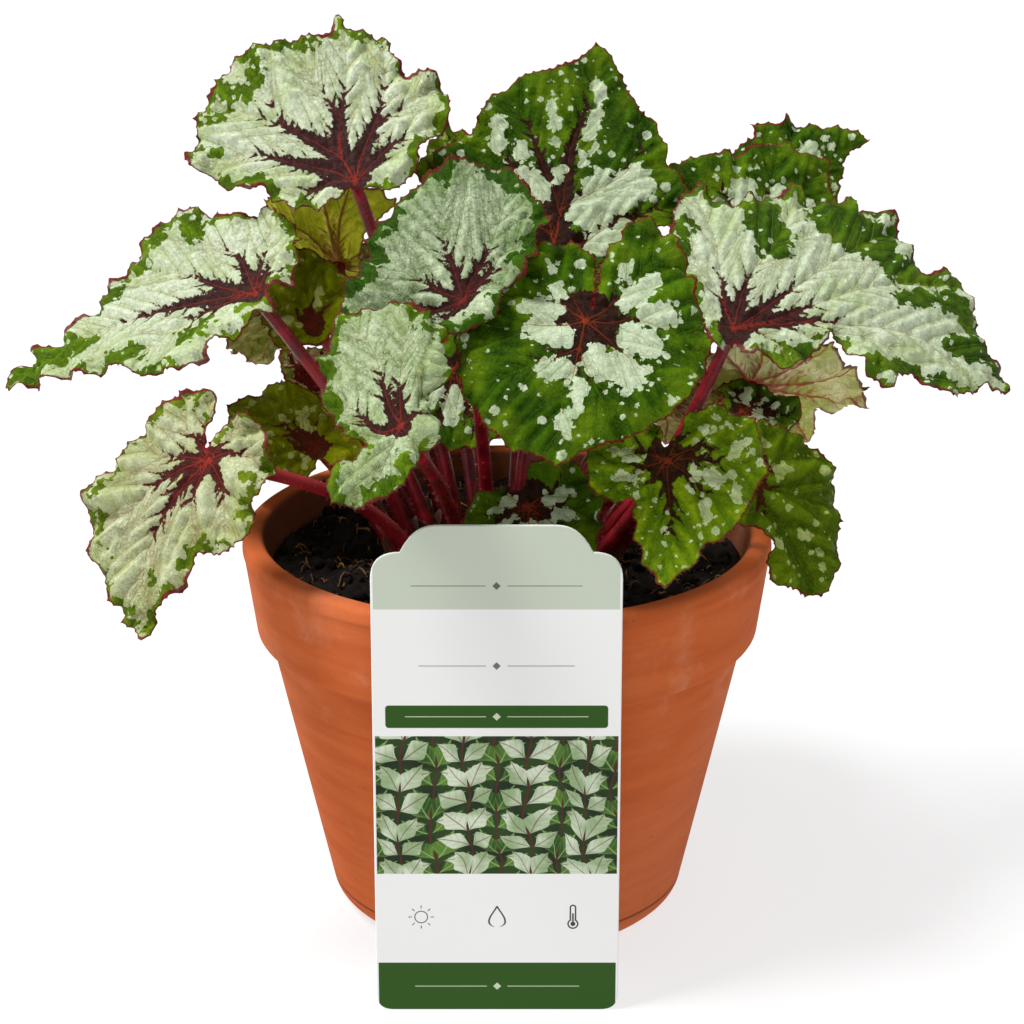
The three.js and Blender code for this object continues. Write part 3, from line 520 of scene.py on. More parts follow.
# What is drawn on a leaf, in flat coordinates from its hub. `veins` are the main veins' points
# after the hub. `patches` are rounded bars, (x, y, x, y, width), of silver on a green leaf or
# of green on a silver one. `star` is the dark star's reach, as a share of each vein, and its
# width at the hub, `heart` the radius of the dark round the hub, and `bare` lists the veins
# that the star leaves out. `band` is the green margin's width, `pitch` the distance between
# side veins, `pucker` the height of the pillows between them and `quilt` how far that comes
# and goes. `ground` and `tones` choose the upper face's colours and `under` the lower face's. A
# leaf without veins or patches gets them from its outline.
MARKINGS = {
    "silver_top_left": {
        "veins": [[(8, 3), (20, 3), (35, 0), (51, -1)], [(11, 4), (24, 4), (33, 8), (46, 13)],
                  [(8, 3), (22, 20), (30, 35), (31, 44)], [(9, 4), (22, 19), (33, 25), (44, 33)],
                  [(5, 7), (10, 20), (14, 29), (14, 46)], [(1, 7), (-1, 14), (-3, 22)],
                  [(8, -2), (16, -6), (30, -11), (44, -12)], [(9, -3), (18, -7), (23, -15), (31, -26)],
                  [(7, -7), (11, -12), (16, -25)], [(1, -3), (-2, -8)]],
        "patches": [(46, 27, 39, 27, 6), (37, 38, 35, 32, 8), (28, 43, 29, 39, 4), (19, 46, 17, 41, 3),
                    (46, 7, 46, 15, 2)],
        "star": (0.62, 4)},
    "silver_left_long": {
        "veins": [[(9, -2), (26, -3), (45, -4), (63, -4), (87, 0)], [(9, -5), (26, -16), (46, -21)],
                  [(2, -7), (6, -17), (15, -24), (20, -36)], [(-1, -7), (-3, -14), (-6, -27)],
                  [(-3, -5), (-6, -12), (-12, -17)], [(7, 0), (14, 1), (28, 6), (41, 12)],
                  [(-4, -2), (-10, -4)]],
        "patches": [(20, -34, 19, -28, 7), (36, -25, 31, -29, 7), (39, -22, 33, -21, 4),
                    (54, -14, 46, -15, 6), (87, -2, 66, -3, 11), (66, -1, 54, 0, 6),
                    (24, 10, 15, 8, 6), (44, 8, 38, 10, 5), (4, 5, -2, 3, 3), (12, -31, 2, -30, 3),
                    (-12, -21, -13, -15, 2)],
        "star": (0.46, 2.9), "pitch": 7.5, "pucker": 1.7, "quilt": 0.25},
    "silver_lower_left": {
        "veins": [[(7, -4), (17, -7), (31, -8), (40, -6), (52, 0)],
                  [(5, -7), (14, -15), (23, -19), (29, -29)], [(2, -9), (4, -16), (4, -25)],
                  [(-4, -6), (-6, -11), (-13, -16)], [(-6, -4), (-10, -6), (-16, -8)],
                  [(-5, 1), (-8, 3), (-13, 5)], [(-4, 4), (-5, 7), (-7, 16)],
                  [(3, 4), (6, 7), (14, 11), (18, 16)], [(7, -1), (12, -1), (18, 2), (24, 7)]],
        "patches": [(23, -29, 31, -26, 2), (36, -19, 34, -23, 1), (-14, -14, -14, -11, 2),
                    (-6, -21, 1, -25, 1), (13, -28, 20, -30, 2), (-6, -2, -4, -3, 3),
                    (0, 15, 3, 17, 3), (8, 14, 12, 17, 3), (20, 14, 22, 12, 2), (22, 7, 32, 5, 4),
                    (37, -3, 39, 1, 2), (47, -7, 51, -3, 3)],
        "star": (0.46, 2.4), "band": 0.9, "tones": "rose"},
    "silver_centre": {
        "veins": [[(9, 2), (23, 5), (41, 1)], [(7, -3), (16, -8), (37, -16)],
                  [(6, -6), (16, -14), (20, -24)], [(4, 7), (12, 16), (20, 26)],
                  [(-2, 8), (2, 20), (5, 32)], [(2, -4), (5, -12)], [(-4, 4), (-8, 14)]],
        "patches": [(36, -16, 40, -10, 2), (21, -23, 27, -22, 3), (-8, 24, -3, 29, 3),
                    (30, 19, 26, 22, 2)],
        "star": (0.42, 2), "tones": "sage", "pitch": 5.2, "pucker": 2.5, "quilt": 0.4, "band": 3.8},
    "silver_curled": {
        "veins": [[(-3, -5), (-19, -23), (-25, -34)], [(-3, -2), (-13, -9), (-29, -18)],
                  [(4, -4), (1, -14), (-4, -32)], [(4, -2), (7, -6), (8, -9)],
                  [(8, 1), (20, 2), (30, 0)], [(2, 4), (2, 8)], [(-5, 2), (-14, 1)]],
        "patches": [(-30, -8, -31, -14, 3), (18, 8, 24, 6, 3), (28, -6, 24, -8, 4),
                    (-26, -35, -22, -37, 3)],
        "star": (0.42, 2.4), "bare": [4, 5], "pitch": 5.5, "quilt": 0.5, "tones": "mint", "band": 2.6},
    "green_right_long": {
        "veins": [[(8, 3), (38, 8), (65, 8), (93, 1)], [(6, 3), (16, 7), (43, 22), (78, 34)],
                  [(8, 7), (30, 27), (58, 51)], [(2, 8), (6, 20), (15, 33), (24, 54)],
                  [(-2, 9), (-3, 20), (-4, 33), (-8, 48)], [(-4, 12), (-8, 21), (-15, 31)],
                  [(8, 1), (14, -2), (19, -9)], [(11, 4), (43, 4), (68, -6)], [(-5, 1), (-8, -2)]],
        "patches": [(11, 44, 15, 34, 15), (36, 48, 47, 42, 20), (55, 32, 76, 36, 12),
                    (56, 22, 67, 23, 8), (75, 25, 80, 18, 10), (74, 9, 84, 9, 7), (43, -5, 55, -5, 6),
                    (58, -6, 75, -5, 6), (24, -2, 9, -6, 5), (-12, 37, -15, 27, 5), (-6, 0, -6, -5, 4),
                    (89, 10, 93, 4, 4)],
        "star": (0.34, 3.4), "heart": 5, "band": 2.2, "ground": "silver", "tones": "pine", "pitch": 8,
        "pucker": 1.3, "quilt": 0.3},
    "green_centre": {
        "veins": [[(10, 0), (18, 0), (27, -1), (43, 0)], [(4, 7), (8, 13), (13, 23), (19, 31)],
                  [(-1, 7), (-4, 13), (-3, 21), (-3, 34)], [(-4, 4), (-11, 8), (-17, 11), (-29, 17)],
                  [(-4, -3), (-8, -6), (-15, -12)], [(-2, -4), (-6, -12), (-4, -22)],
                  [(2, -4), (4, -17), (9, -33)], [(8, 0), (13, -7), (21, -18), (27, -28)],
                  [(10, 1), (26, 12), (33, 18)]],
        "patches": [(-2, -16, -1, -9, 7), (5, -13, 6, -6, 9), (17, -7, 16, -3, 8), (12, 6, 14, 15, 11),
                    (2, 14, 4, 19, 10), (-6, 17, -6, 22, 7), (-9, 11, -15, 15, 8), (-19, 8, -16, 8, 4),
                    (-9, -10, -8, -9, 5), (-16, -13, -15, -12, 3), (19, 2, 26, 3, 5),
                    (32, 0, 27, 3, 5), (35, 2, 36, 3, 3)],
        "star": (0.42, 2.6), "heart": 9.5, "pucker": 1.2, "quilt": 0.35},
    "green_lower_right": {
        "veins": [[(9, 1), (16, 2), (34, 0)], [(4, 7), (8, 11), (13, 21)],
                  [(-1, 6), (-1, 13), (1, 28)], [(-3, 5), (-5, 11), (-9, 25)],
                  [(-4, 2), (-9, 4), (-14, 10)], [(-2, -3), (-6, -4), (-10, -4)],
                  [(-2, -6), (-4, -16)], [(2, -6), (5, -12), (7, -19)], [(5, -3), (10, -5), (11, -9)]],
        "patches": [(-2, -13, -1, -9, 4), (5, -9, 5, -12, 4), (3, 9, 6, 19, 4), (-3, 18, -6, 22, 3),
                    (-3, 25, -1, 28, 2), (12, 11, 15, 11, 3), (8, 7, 9, 8, 2), (10, 19, 9, 22, 2),
                    (-9, 12, -7, 12, 3), (-13, 14, -11, 18, 2), (20, 10, 22, 10, 1)],
        "star": (0.5, 1.8), "heart": 6, "tones": "lime"},
    "green_top": {
        "veins": [[(15, 0), (37, 1), (49, -1), (69, -2)], [(6, -9), (14, -16), (19, -25), (25, -35)],
                  [(15, 0), (22, -7), (32, -17), (48, -22)], [(15, 1), (31, 10), (43, 17), (50, 24)],
                  [(10, 3), (19, 10), (28, 19), (35, 27), (40, 30)], [(6, 2), (10, 16), (20, 40)],
                  [(1, 4), (-4, 22)], [(-1, -5), (-2, -19)]],
        "patches": [(15, -8, 28, -20, 13), (5, -12, 13, -22, 8), (24, -7, 29, -10, 6),
                    (24, 13, 19, 7, 8), (32, 16, 31, 16, 6), (39, 24, 33, 23, 6), (48, 10, 41, 7, 4),
                    (41, -4, 49, -5, 5), (57, -4, 56, -5, 6), (34, -3, 32, -4, 4), (39, -6, 38, -7, 3),
                    (37, 6, 36, 6, 3), (29, 2, 25, 3, 4)],
        "star": (0.75, 4), "heart": 9},
    "olive_right_hanging": {
        "veins": [[(12, -5), (17, -3), (25, 0), (42, 2)], [(7, -1), (11, 5), (24, 19)],
                  [(3, 1), (2, 13), (5, 20)], [(4, -4), (10, -12)], [(-3, 3), (-7, 8)]],
        "patches": [(4, 3, 6, 7, 4), (25, 3, 27, 5, 3), (21, -6, 24, -6, 2), (-5, 5, -3, 7, 2)],
        "star": (0.3, 3)},
    "olive_right_turned": {"star": (0.5, 0.8), "under": "cream"},
    "olive_left_back": {"star": (0.3, 3), "tones": "gold"},
    "olive_left_lower": {"star": (0.4, 3), "tones": "gold"},
    "red_left_small": {"star": (0.8, 3), "under": "cream", "ground": "silver", "tones": "blush"},
}

# What a leaf has where its own markings don't say.
USUAL = {"pitch": 6.0, "heart": 3.4, "band": 1.6, "quilt": 0.14, "bare": []}
# What each kind of leaf has. The kind is the first word of its name.
PALETTES = {
    "silver": {"ground": "silver", "tones": "silver", "star": (0.5, 3.5)},
    "green": {"ground": "green", "tones": "green", "star": (0.5, 3), "heart": 8},
    "olive": {"ground": "olive", "tones": "olive", "star": (0.35, 3)},
    "dark": {"ground": "green", "tones": "green", "star": (0.7, 3)},
    "bronze": {"ground": "olive", "tones": "olive", "star": (0.6, 4)},
    "red": {"ground": "olive", "tones": "olive", "star": (0.8, 5)},
}


def smooth_path(points, spacing, closed):
    """A centripetal Catmull-Rom curve through points, with a step about every spacing."""
    points = np.asarray(points, float)
    count = len(points)
    pieces = []
    for i in range(count if closed else count - 1):
        if closed:
            p0, p1, p2, p3 = (points[(i + k - 1) % count] for k in range(4))
        else:
            p1, p2 = points[i], points[i + 1]
            p0 = points[i - 1] if i else 2 * p1 - p2
            p3 = points[i + 2] if i + 2 < count else 2 * p2 - p1
        t0, t1, t2 = (math.sqrt(math.dist(a, b)) for a, b in ((p0, p1), (p1, p2), (p2, p3)))
        leave = ((p1 - p0) / t0 - (p2 - p0) / (t0 + t1) + (p2 - p1) / t1) * t1
        arrive = ((p2 - p1) / t1 - (p3 - p1) / (t1 + t2) + (p3 - p2) / t2) * t1
        steps = max(1, round(math.dist(p1, p2) / spacing))
        t = (np.arange(steps) / steps)[:, None]
        pieces.append(
            p1 + leave * t + (3 * (p2 - p1) - 2 * leave - arrive) * t ** 2
            + (2 * (p1 - p2) + leave + arrive) * t ** 3)
    if not closed:
        pieces.append(points[-1:])
    return np.concatenate(pieces)


def even_steps(path, spacing):
    """A closed path again, with its points evenly spaced, and how far along each lies."""
    ring = np.concatenate([path, path[:1]])
    along = np.concatenate([[0], np.cumsum(step_lengths(ring))])
    count = round(along[-1] / spacing)
    at = np.arange(count) * along[-1] / count
    return np.stack([np.interp(at, along, ring[:, k]) for k in (0, 1)], 1), at


def toothed_margin(leaf, random):
    """The flat outline with its small pointed teeth, and how far along each point lies."""
    tooth_pitch, tooth_height, lobe_pitch, lobe_height = 2.9, 1.0, 8.5, 0.65
    path, at = even_steps(smooth_path(leaf["edge"], 1, True), BLADE["edge"])
    length = at[-1] + BLADE["edge"]
    count = round(length / tooth_pitch)
    sway = 0.32 * np.sin(TURN * 5 * at / length + random.uniform(0, 6))
    phase = at / length * count + sway
    height = random.uniform(0.15, 1.4, count + 2)[np.floor(phase + 1).astype(int) % (count + 2)]
    cusp = (1 - np.abs(np.sin(math.pi * phase)) ** 0.6) * height * tooth_height
    fine = 0.16 * np.abs(np.sin(math.pi * phase * 3.5))
    lobes = round(length / lobe_pitch)
    turn = TURN * at / length
    swell = np.sin(lobes * turn + 1.4 * np.sin(3 * turn + random.uniform(0, 6)))
    fine += lobe_height * swell * (0.7 + 0.5 * np.sin(2 * turn + random.uniform(0, 6)))
    ahead, behind = np.roll(path, -2, 0), np.roll(path, 2, 0)
    outward = unit((ahead - behind)[:, ::-1] * (1, -1))
    return path + outward * (cusp + fine)[:, None], at


def inside(points, ring):
    """Whether each point lies inside a closed outline."""
    a, b = ring, np.roll(ring, -1, 0)
    x, y = points[:, 0:1], points[:, 1:2]
    spans = (a[:, 1] > y) != (b[:, 1] > y)
    rise = np.where(b[:, 1] == a[:, 1], 1e-9, b[:, 1] - a[:, 1])
    crossing = a[:, 0] + (y - a[:, 1]) * (b[:, 0] - a[:, 0]) / rise
    return (np.count_nonzero(spans & (x < crossing), axis=1) % 2) == 1


class Network:
    """Some veins as one set of short straight pieces, for measuring distances to them."""

    def __init__(self, paths):
        self.starts = np.concatenate([path[:-1] for path in paths])
        self.ends = np.concatenate([path[1:] for path in paths])
        self.owner = np.concatenate([np.full(len(path) - 1, i) for i, path in enumerate(paths)])
        steps = [step_lengths(path) for path in paths]
        self.before = np.concatenate([np.cumsum(step) - step for step in steps])
        self.lengths = np.array([step.sum() for step in steps])

    def measure(self, points):
        """For each point: signed distance, distance, length along, and which vein."""
        found = [self._some(points[i:i + 1500]) for i in range(0, len(points), 1500)]
        return [np.concatenate(column) for column in zip(*found)]

    def _some(self, points):
        way = self.ends - self.starts
        size = (way ** 2).sum(1)
        away = points[:, None] - self.starts
        share = np.clip((away * way).sum(2) / size, 0, 1)
        gap = ((away - share[..., None] * way) ** 2).sum(2)
        best = gap.argmin(1)
        row = np.arange(len(points))
        distance = np.sqrt(gap[row, best])
        left = way[best, 0] * away[row, best, 1] - way[best, 1] * away[row, best, 0]
        along = self.before[best] + share[row, best] * np.sqrt(size[best])
        return np.where(left < 0, -distance, distance), distance, along, self.owner[best]


def turned(way, angle):
    """A flat direction, turned to the left by an angle."""
    c, s = math.cos(angle), math.sin(angle)
    return np.array([way[0] * c - way[1] * s, way[0] * s + way[1] * c])


def main_veins(marking, ring):
    """The main veins' paths from the hub to the margin."""
    if "veins" in marking:
        return [smooth_path([(0, 0), *vein], 2, False) for vein in marking["veins"]]
    apart, slack, curl = math.radians(34), math.radians(11), 0.09
    paths = []
    angles = np.arctan2(ring[:, 1], ring[:, 0])
    reach = np.linalg.norm(ring, axis=1)
    for k in range(-4, 5):
        near = np.abs((angles - apart * k + math.pi) % TURN - math.pi) < slack
        if not near.any():
            continue
        end = ring[np.where(near, reach, 0).argmax()] * 0.96
        halfway = turned(end * 0.5, -curl * np.sign(k))
        path = smooth_path([(0, 0), halfway, end], 2, False)
        if inside(path[2:], ring).all():
            paths.append(path)
    return paths


def side_veins(mains, ring, random, pitch):
    """Side veins that leave the main veins in turns and bend towards the margin."""
    first, step, steps, bend, bias = 5, 1.4, 30, 0.008, 0.75
    paths = []
    for i, main in enumerate(mains):
        others = Network([path for j, path in enumerate(mains) if j != i])
        own = Network([main])
        lengths = np.concatenate([[0], np.cumsum(step_lengths(main))])
        for side in (-1, 1):
            at = first + (0 if side < 0 else pitch / 2) + random.uniform(-0.6, 0.6)
            while at < lengths[-1] - 2:
                k = min(np.searchsorted(lengths, at), len(main) - 1)
                way = unit(main[k] - main[k - 1])
                path = [main[k]]
                heading = turned(way, side * random.uniform(0.5, 0.64))
                for _ in range(steps):
                    place = path[-1] + heading * step
                    if not inside(place[None], ring)[0]:
                        break
                    gap_own, gap_other = (veins.measure(place[None])[1][0] for veins in (own, others))
                    if gap_other < bias * gap_own:
                        break
                    path.append(place)
                    heading = turned(heading, -side * bend)
                if len(path) > 2:
                    paths.append(np.array(path))
                at += pitch * random.uniform(0.85, 1.15)
    return paths


def bend_points(points, towards, start, over, turn):
    """Bends points (x, y, height) as a sheet bends over a round edge."""
    c, s = math.cos(math.radians(towards)), math.sin(math.radians(towards))
    x, y, height = points.T
    along, across = x * c + y * s, y * c - x * s
    radius = over / math.radians(turn)
    angle = math.radians(turn) * np.clip((along - start) / over, 0, 1)
    rest = np.maximum(along - start - over, 0)
    new_along = start + (radius + height) * np.sin(angle) + rest * np.cos(angle)
    new_height = (radius + height) * np.cos(angle) - radius - rest * np.sin(angle)
    bent = along > start
    along, height = np.where(bent, new_along, along), np.where(bent, new_height, height)
    return np.stack([along * c - across * s, along * s + across * c, height], 1)


def leaf_axes(leaf):
    """Unit vectors along the midrib, to its left and out of the upper face."""
    compass, tilt = (math.radians(angle) for angle in leaf["face"])
    flat = np.array([math.cos(compass), math.sin(compass), 0])
    out = math.sin(tilt) * flat + (0, 0, math.cos(tilt))
    downhill = math.cos(tilt) * flat - (0, 0, math.sin(tilt))
    spin = math.radians(leaf["spin"])
    midrib = downhill * math.cos(spin) + np.cross(out, downhill) * math.sin(spin)
    return midrib, np.cross(out, midrib), out


def place_on_leaf(leaf, plan, height):
    """Places flat leaf points at a height above the blade's upper face."""
    span = max(math.hypot(*corner) for corner in leaf["edge"])
    rise, count, phase = leaf["wave"]
    outward = (np.linalg.norm(plan, axis=1) / span) ** 2
    wave = rise * outward * np.sin(count * np.arctan2(plan[:, 1], plan[:, 0]) + math.radians(phase))
    points = np.column_stack([plan, height + wave])
    for bend in leaf["bends"]:
        points = bend_points(points, *bend)
    return np.array(leaf["hub"], float) + points @ np.array(leaf_axes(leaf))


def bars(points, patches):
    """How deep each point lies inside the nearest of some rounded bars."""
    depth = np.full(len(points), -30.0)
    for x1, y1, x2, y2, width in patches:
        start, way = np.array([x1, y1], float), np.array([x2 - x1, y2 - y1], float)
        share = np.clip(((points - start) @ way) / max(way @ way, 1e-6), 0, 1)
        gap = np.linalg.norm(points - start - share[:, None] * way, axis=1)
        depth = np.maximum(depth, width / 2 - gap)
    return depth


def guessed_patches(ground, mains, ring, random):
    """Patches for a leaf that has none of its own."""
    patches = []
    if ground == "silver":
        for i in range(0, len(ring), 26):
            point = ring[(i + random.integers(12)) % len(ring)]
            inner = point * random.uniform(0.8, 0.9)
            patches.append((*inner, *(point * 0.98), random.uniform(2, 6)))
        return patches
    ends = sorted([path[-1] for path in mains], key=lambda end: math.atan2(end[1], end[0]))
    for a, b in zip(ends, ends[1:]):
        way = (a + b) / 2
        near, far = random.uniform(0.3, 0.4), random.uniform(0.5, 0.66)
        width = np.linalg.norm(a - b) * random.uniform(0.3, 0.42)
        if ground == "green" or random.random() < 0.4:
            patches.append((*(way * near), *(way * far), width if ground == "green" else width * 0.5))
    return patches


class Blade:
    """One leaf's blade: its outline, its veins, the marks on it and its relief."""

    def __init__(self, number, name):
        self.name = name
        self.leaf = LEAVES[name]
        kind = PALETTES[name.split("_")[0]]
        self.marking = {**USUAL, **kind, **MARKINGS.get(name, {})}
        self.random = np.random.default_rng(SEEDS["leaf"] + number)
        self.ring, self.at = toothed_margin(self.leaf, self.random)
        self.mains = main_veins(self.marking, self.ring)
        self.sides = side_veins(self.mains, self.ring, self.random, self.marking["pitch"])
        self._cut()
        self._measure()

    def _cut(self):
        """Splits the outline into small triangles, as even as can be."""
        grid = BLADE["grid"]
        low, high = self.ring.min(0), self.ring.max(0)
        rows = np.arange(low[1], high[1], grid * math.sqrt(3) / 2)
        columns = np.arange(low[0], high[0], grid)
        x, y = np.meshgrid(columns, rows)
        x = x + (np.arange(len(rows)) % 2)[:, None] * grid / 2
        lattice = np.stack([x.ravel(), y.ravel()], 1)
        lattice = lattice[inside(lattice, self.ring)]
        border = Network([np.concatenate([self.ring, self.ring[:1]])])
        lattice = lattice[border.measure(lattice)[1] > grid * BLADE["clear"]]
        points = [Vector(point) for point in np.concatenate([self.ring, lattice]).tolist()]
        outline = list(range(len(self.ring)))
        made = delaunay_2d_cdt(points, [], [outline], 1, 1e-5)
        self.plan = np.array([tuple(point) for point in made[0]])
        self.triangles = np.array(made[2])
        origin = [sources[0] if sources else -1 for sources in made[3]]
        place = {source: i for i, source in enumerate(origin)}
        self.rim_points = np.array([place[i] for i in outline])
        self.rim_gap = border.measure(self.plan)[1]
        self.rim_gap[self.rim_points] = 0
        self.rim_at = border.measure(self.plan)[2]

    def _measure(self):
        """How each mesh point lies to the veins, the dark star and the patches."""
        mains, sides = Network(self.mains), Network(self.sides)
        self.radius = np.linalg.norm(self.plan, axis=1)
        self.main = mains.measure(self.plan)
        self.side = sides.measure(self.plan)
        near, along, which = self.main[1:]
        reach, width = self.marking["star"]
        reach = np.full(len(self.mains), reach)
        reach[self.marking["bare"]] = 0.05
        self.share = along / mains.lengths[which]
        left = 1 - self.share / reach[which]
        star = np.where(left > 0, width * np.abs(left) ** 0.9, 3 * width * left) - near
        base = mains.measure(np.array([path[0] for path in self.sides]))
        base_left = (1 - base[2] / (1.15 * reach[base[3]] * mains.lengths[base[3]]))[self.side[3]]
        fade = 1 - self.side[2] / (3 + 5.5 * np.maximum(base_left, 0))
        spur = np.where(base_left > 0, (0.45 + 0.7 * base_left) * fade, -5) - self.side[1]
        self.star = np.maximum(np.maximum(star, spur), self.marking["heart"] - self.radius)
        patches = self.marking.get("patches")
        if patches is None:
            patches = guessed_patches(self.marking["ground"], self.mains, self.ring, self.random)
        self.patch = bars(self.plan, patches)
        if self.marking["ground"] == "silver":
            self.patch = np.maximum(self.patch, self._band() - self.rim_gap)

    def _band(self):
        """The green band's width at the margin, which comes and goes along it."""
        turn = TURN * self.rim_at / self.at[-1]
        width = np.full(len(turn), self.marking["band"])
        for count in (3, 5, 9, 14, 21):
            width += 1.1 * np.sin(count * turn + self.random.uniform(0, TURN))
        return np.clip(width, -2, 6)

    def relief(self):
        """The upper face's height above the CAD blade: puckers, grooves and a ruffled margin."""
        near, side_near, radius = self.main[1], self.side[1], self.radius
        full = np.clip(radius / 10, 0, 1) * np.clip(self.rim_gap / 3, 0.3, 1)
        pucker = 1 - bump(np.minimum(near, side_near), RELIEF["pillow"])
        fold = np.minimum(near, 10) / 10
        groove = bump(near, RELIEF["groove"])
        turn = TURN * self.rim_at / self.at[-1]
        lobes = max(3, round(self.at[-1] / RELIEF["lobe"]))
        phase = self.random.uniform(0, TURN, 4)
        ruffle = np.sin(lobes * turn + phase[0] + 0.8 * np.sin(3 * turn + phase[1]))
        ruffle *= 0.75 + 0.45 * np.sin(2 * turn + phase[2])
        ruffle += 0.35 * np.sin((2 * lobes + 3) * turn + phase[3])
        depth = np.exp(-self.rim_gap / RELIEF["ruffle"])
        silver = self.marking["ground"] == "silver"
        wrinkle = waves(self.plan[:, 0], self.plan[:, 1], self.random, 5)
        quilt = np.sin(TURN * self.side[2] / RELIEF["fold"] + 2.4 * self.side[3])
        pucker *= 1 + self.marking["quilt"] * quilt
        height = self.marking.get("pucker", 2.2 if silver else 1.8)
        sunk = 0.2 + 0.9 * np.clip(radius / 12, 0, 1)
        return (full * (height * pucker + 1.3 * fold + 0.2 * wrinkle) - 0.4 * groove * full
                + (2.5 if silver else 2.0) * ruffle * depth * np.clip(radius / 8, 0, 1) - sunk)

    def thickness(self):
        """Thin, with raised veins on the lower face."""
        thin = BLADE["rim"] + (BLADE["middle"] - BLADE["rim"]) * np.clip(self.rim_gap / 3, 0, 1)
        _, near, along, which = self.main
        lengths = Network(self.mains).lengths[which]
        taper = np.clip(1.15 - along / lengths, 0.2, 1)
        ridge = 0.9 * taper * bump(near, 0.45 + 0.7 * taper)
        side_ridge = 0.3 * bump(self.side[1], 0.5)
        return thin + (ridge + side_ridge) * np.clip(self.rim_gap / 2, 0, 1)

    def make(self, materials):
        """The closed blade, with short hairs on its margin."""
        top_height = self.relief()
        top = place_on_leaf(self.leaf, self.plan, top_height)
        under = place_on_leaf(self.leaf, self.plan, top_height - self.thickness())
        count = len(self.plan)
        a, b = self.rim_points, np.roll(self.rim_points, -1)
        band = np.concatenate([np.stack([a, a + count, b], 1), np.stack([b, a + count, b + count], 1)])
        hairs, hair_faces = self._hairs(top, under)
        faces = np.concatenate([
            self.triangles, self.triangles[:, ::-1] + count, band, hair_faces + 2 * count])
        counts = [len(self.triangles), len(self.triangles), len(band), len(hair_faces)]
        kinds = np.repeat(np.array([0, 1, 0, 2], np.int32), counts)
        piece = add_piece(
            "blade_" + self.name, np.concatenate([top, under, hairs]), faces.tolist(),
            materials, ["leaf_" + self.name], face_materials=kinds)
        seed = np.full(count, 13.7 * (len(self.name) + self.leaf["hub"][0]))
        for label, columns in (
                ("plan", (self.plan[:, 0], self.plan[:, 1], self.rim_gap)),
                ("vein", (self.main[0], self.main[2], self.main[1])),
                ("rib", (self.side[0], self.side[2], self.side[1])),
                ("mark", (self.star, self.patch, seed)),
                ("more", (self.share, self.radius, np.zeros(count)))):
            both = [np.concatenate([column, column, np.zeros(len(hairs))]) for column in columns]
            add_numbers(piece, label, both)

    def _hairs(self, top, under):
        """Hairs that stand out from every other point of the margin."""
        some = self.rim_points[::2]
        ahead = np.roll(self.rim_points, -2)[::2]
        root = (top[some] + under[some]) / 2
        thick = unit(top[some] - under[some])
        run = unit(top[ahead] - top[some])
        way = np.cross(run, thick) + self.random.normal(0, 0.35, root.shape)
        lengths = self.random.uniform(*HAIRS["margin"], len(root))
        return hair_solids(root - 0.1 * unit(way), unit(way), lengths, HAIRS["margin_radius"])


# ---------------------------------------------------------------- the leaves' finish

# The sets of tones of the leaves with each ground. On a silver one the patches are green.
GROUNDS = {"silver": "silver sage mint rose pine blush", "green": "green lime", "olive": "olive gold"}
TONE_PARTS = "tint silver shade green deep star star_pale vein line faint rim".split()
TONES = {
    "silver": ((176, 196, 118), (218, 226, 200), (160, 180, 126), (108, 138, 6), (54, 86, 0),
        (48, 24, 23), (84, 58, 54), (146, 44, 32), (186, 142, 108), (128, 148, 36), (114, 16, 36)),
    "sage": ((128, 156, 84), (194, 208, 170), (64, 94, 44), (64, 104, 4), (32, 64, 0), (44, 18, 16),
        (72, 42, 38), (116, 34, 26), (130, 136, 92), (88, 116, 36), (104, 30, 28)),
    "mint": ((150, 172, 100), (196, 210, 170), (98, 122, 62), (100, 132, 4), (48, 80, 0), (46, 20, 18),
        (76, 44, 38), (130, 38, 28), (150, 130, 90), (110, 130, 34), (104, 20, 26)),
    "green": ((166, 186, 132), (204, 216, 186), (158, 178, 136), (74, 112, 0), (20, 48, 0),
        (34, 16, 10), (62, 40, 30), (130, 48, 22), (176, 154, 108), (96, 130, 16), (114, 26, 26)),
    "lime": ((178, 200, 110), (216, 226, 184), (170, 190, 128), (138, 164, 14), (66, 104, 0),
        (38, 20, 10), (72, 50, 22), (128, 50, 20), (160, 150, 80), (140, 160, 50), (118, 44, 28)),
    "olive": ((148, 166, 72), (172, 186, 116), (132, 150, 74), (100, 124, 2), (52, 78, 0), (58, 26, 8),
        (80, 48, 14), (106, 34, 14), (120, 88, 30), (122, 134, 20), (108, 32, 26)),
    "pine": ((170, 190, 124), (212, 222, 194), (158, 178, 128), (80, 116, 0), (28, 58, 0),
        (46, 20, 18), (80, 52, 46), (140, 40, 28), (180, 140, 104), (128, 148, 36), (112, 18, 36)),
    "rose": ((160, 172, 92), (206, 212, 172), (144, 150, 98), (112, 134, 14), (62, 88, 0),
        (62, 22, 22), (106, 52, 46), (156, 46, 32), (176, 118, 92), (132, 146, 44), (118, 22, 36)),
    "gold": ((172, 178, 84), (186, 192, 112), (150, 158, 80), (142, 150, 4), (88, 96, 0), (74, 28, 14),
        (104, 56, 34), (112, 34, 18), (120, 70, 26), (128, 100, 14), (112, 34, 24)),
    "blush": ((196, 176, 110), (214, 190, 158), (182, 150, 112), (132, 146, 30), (96, 110, 10),
        (96, 16, 20), (128, 40, 36), (140, 24, 26), (160, 70, 56), (150, 120, 50), (130, 30, 36)),
}
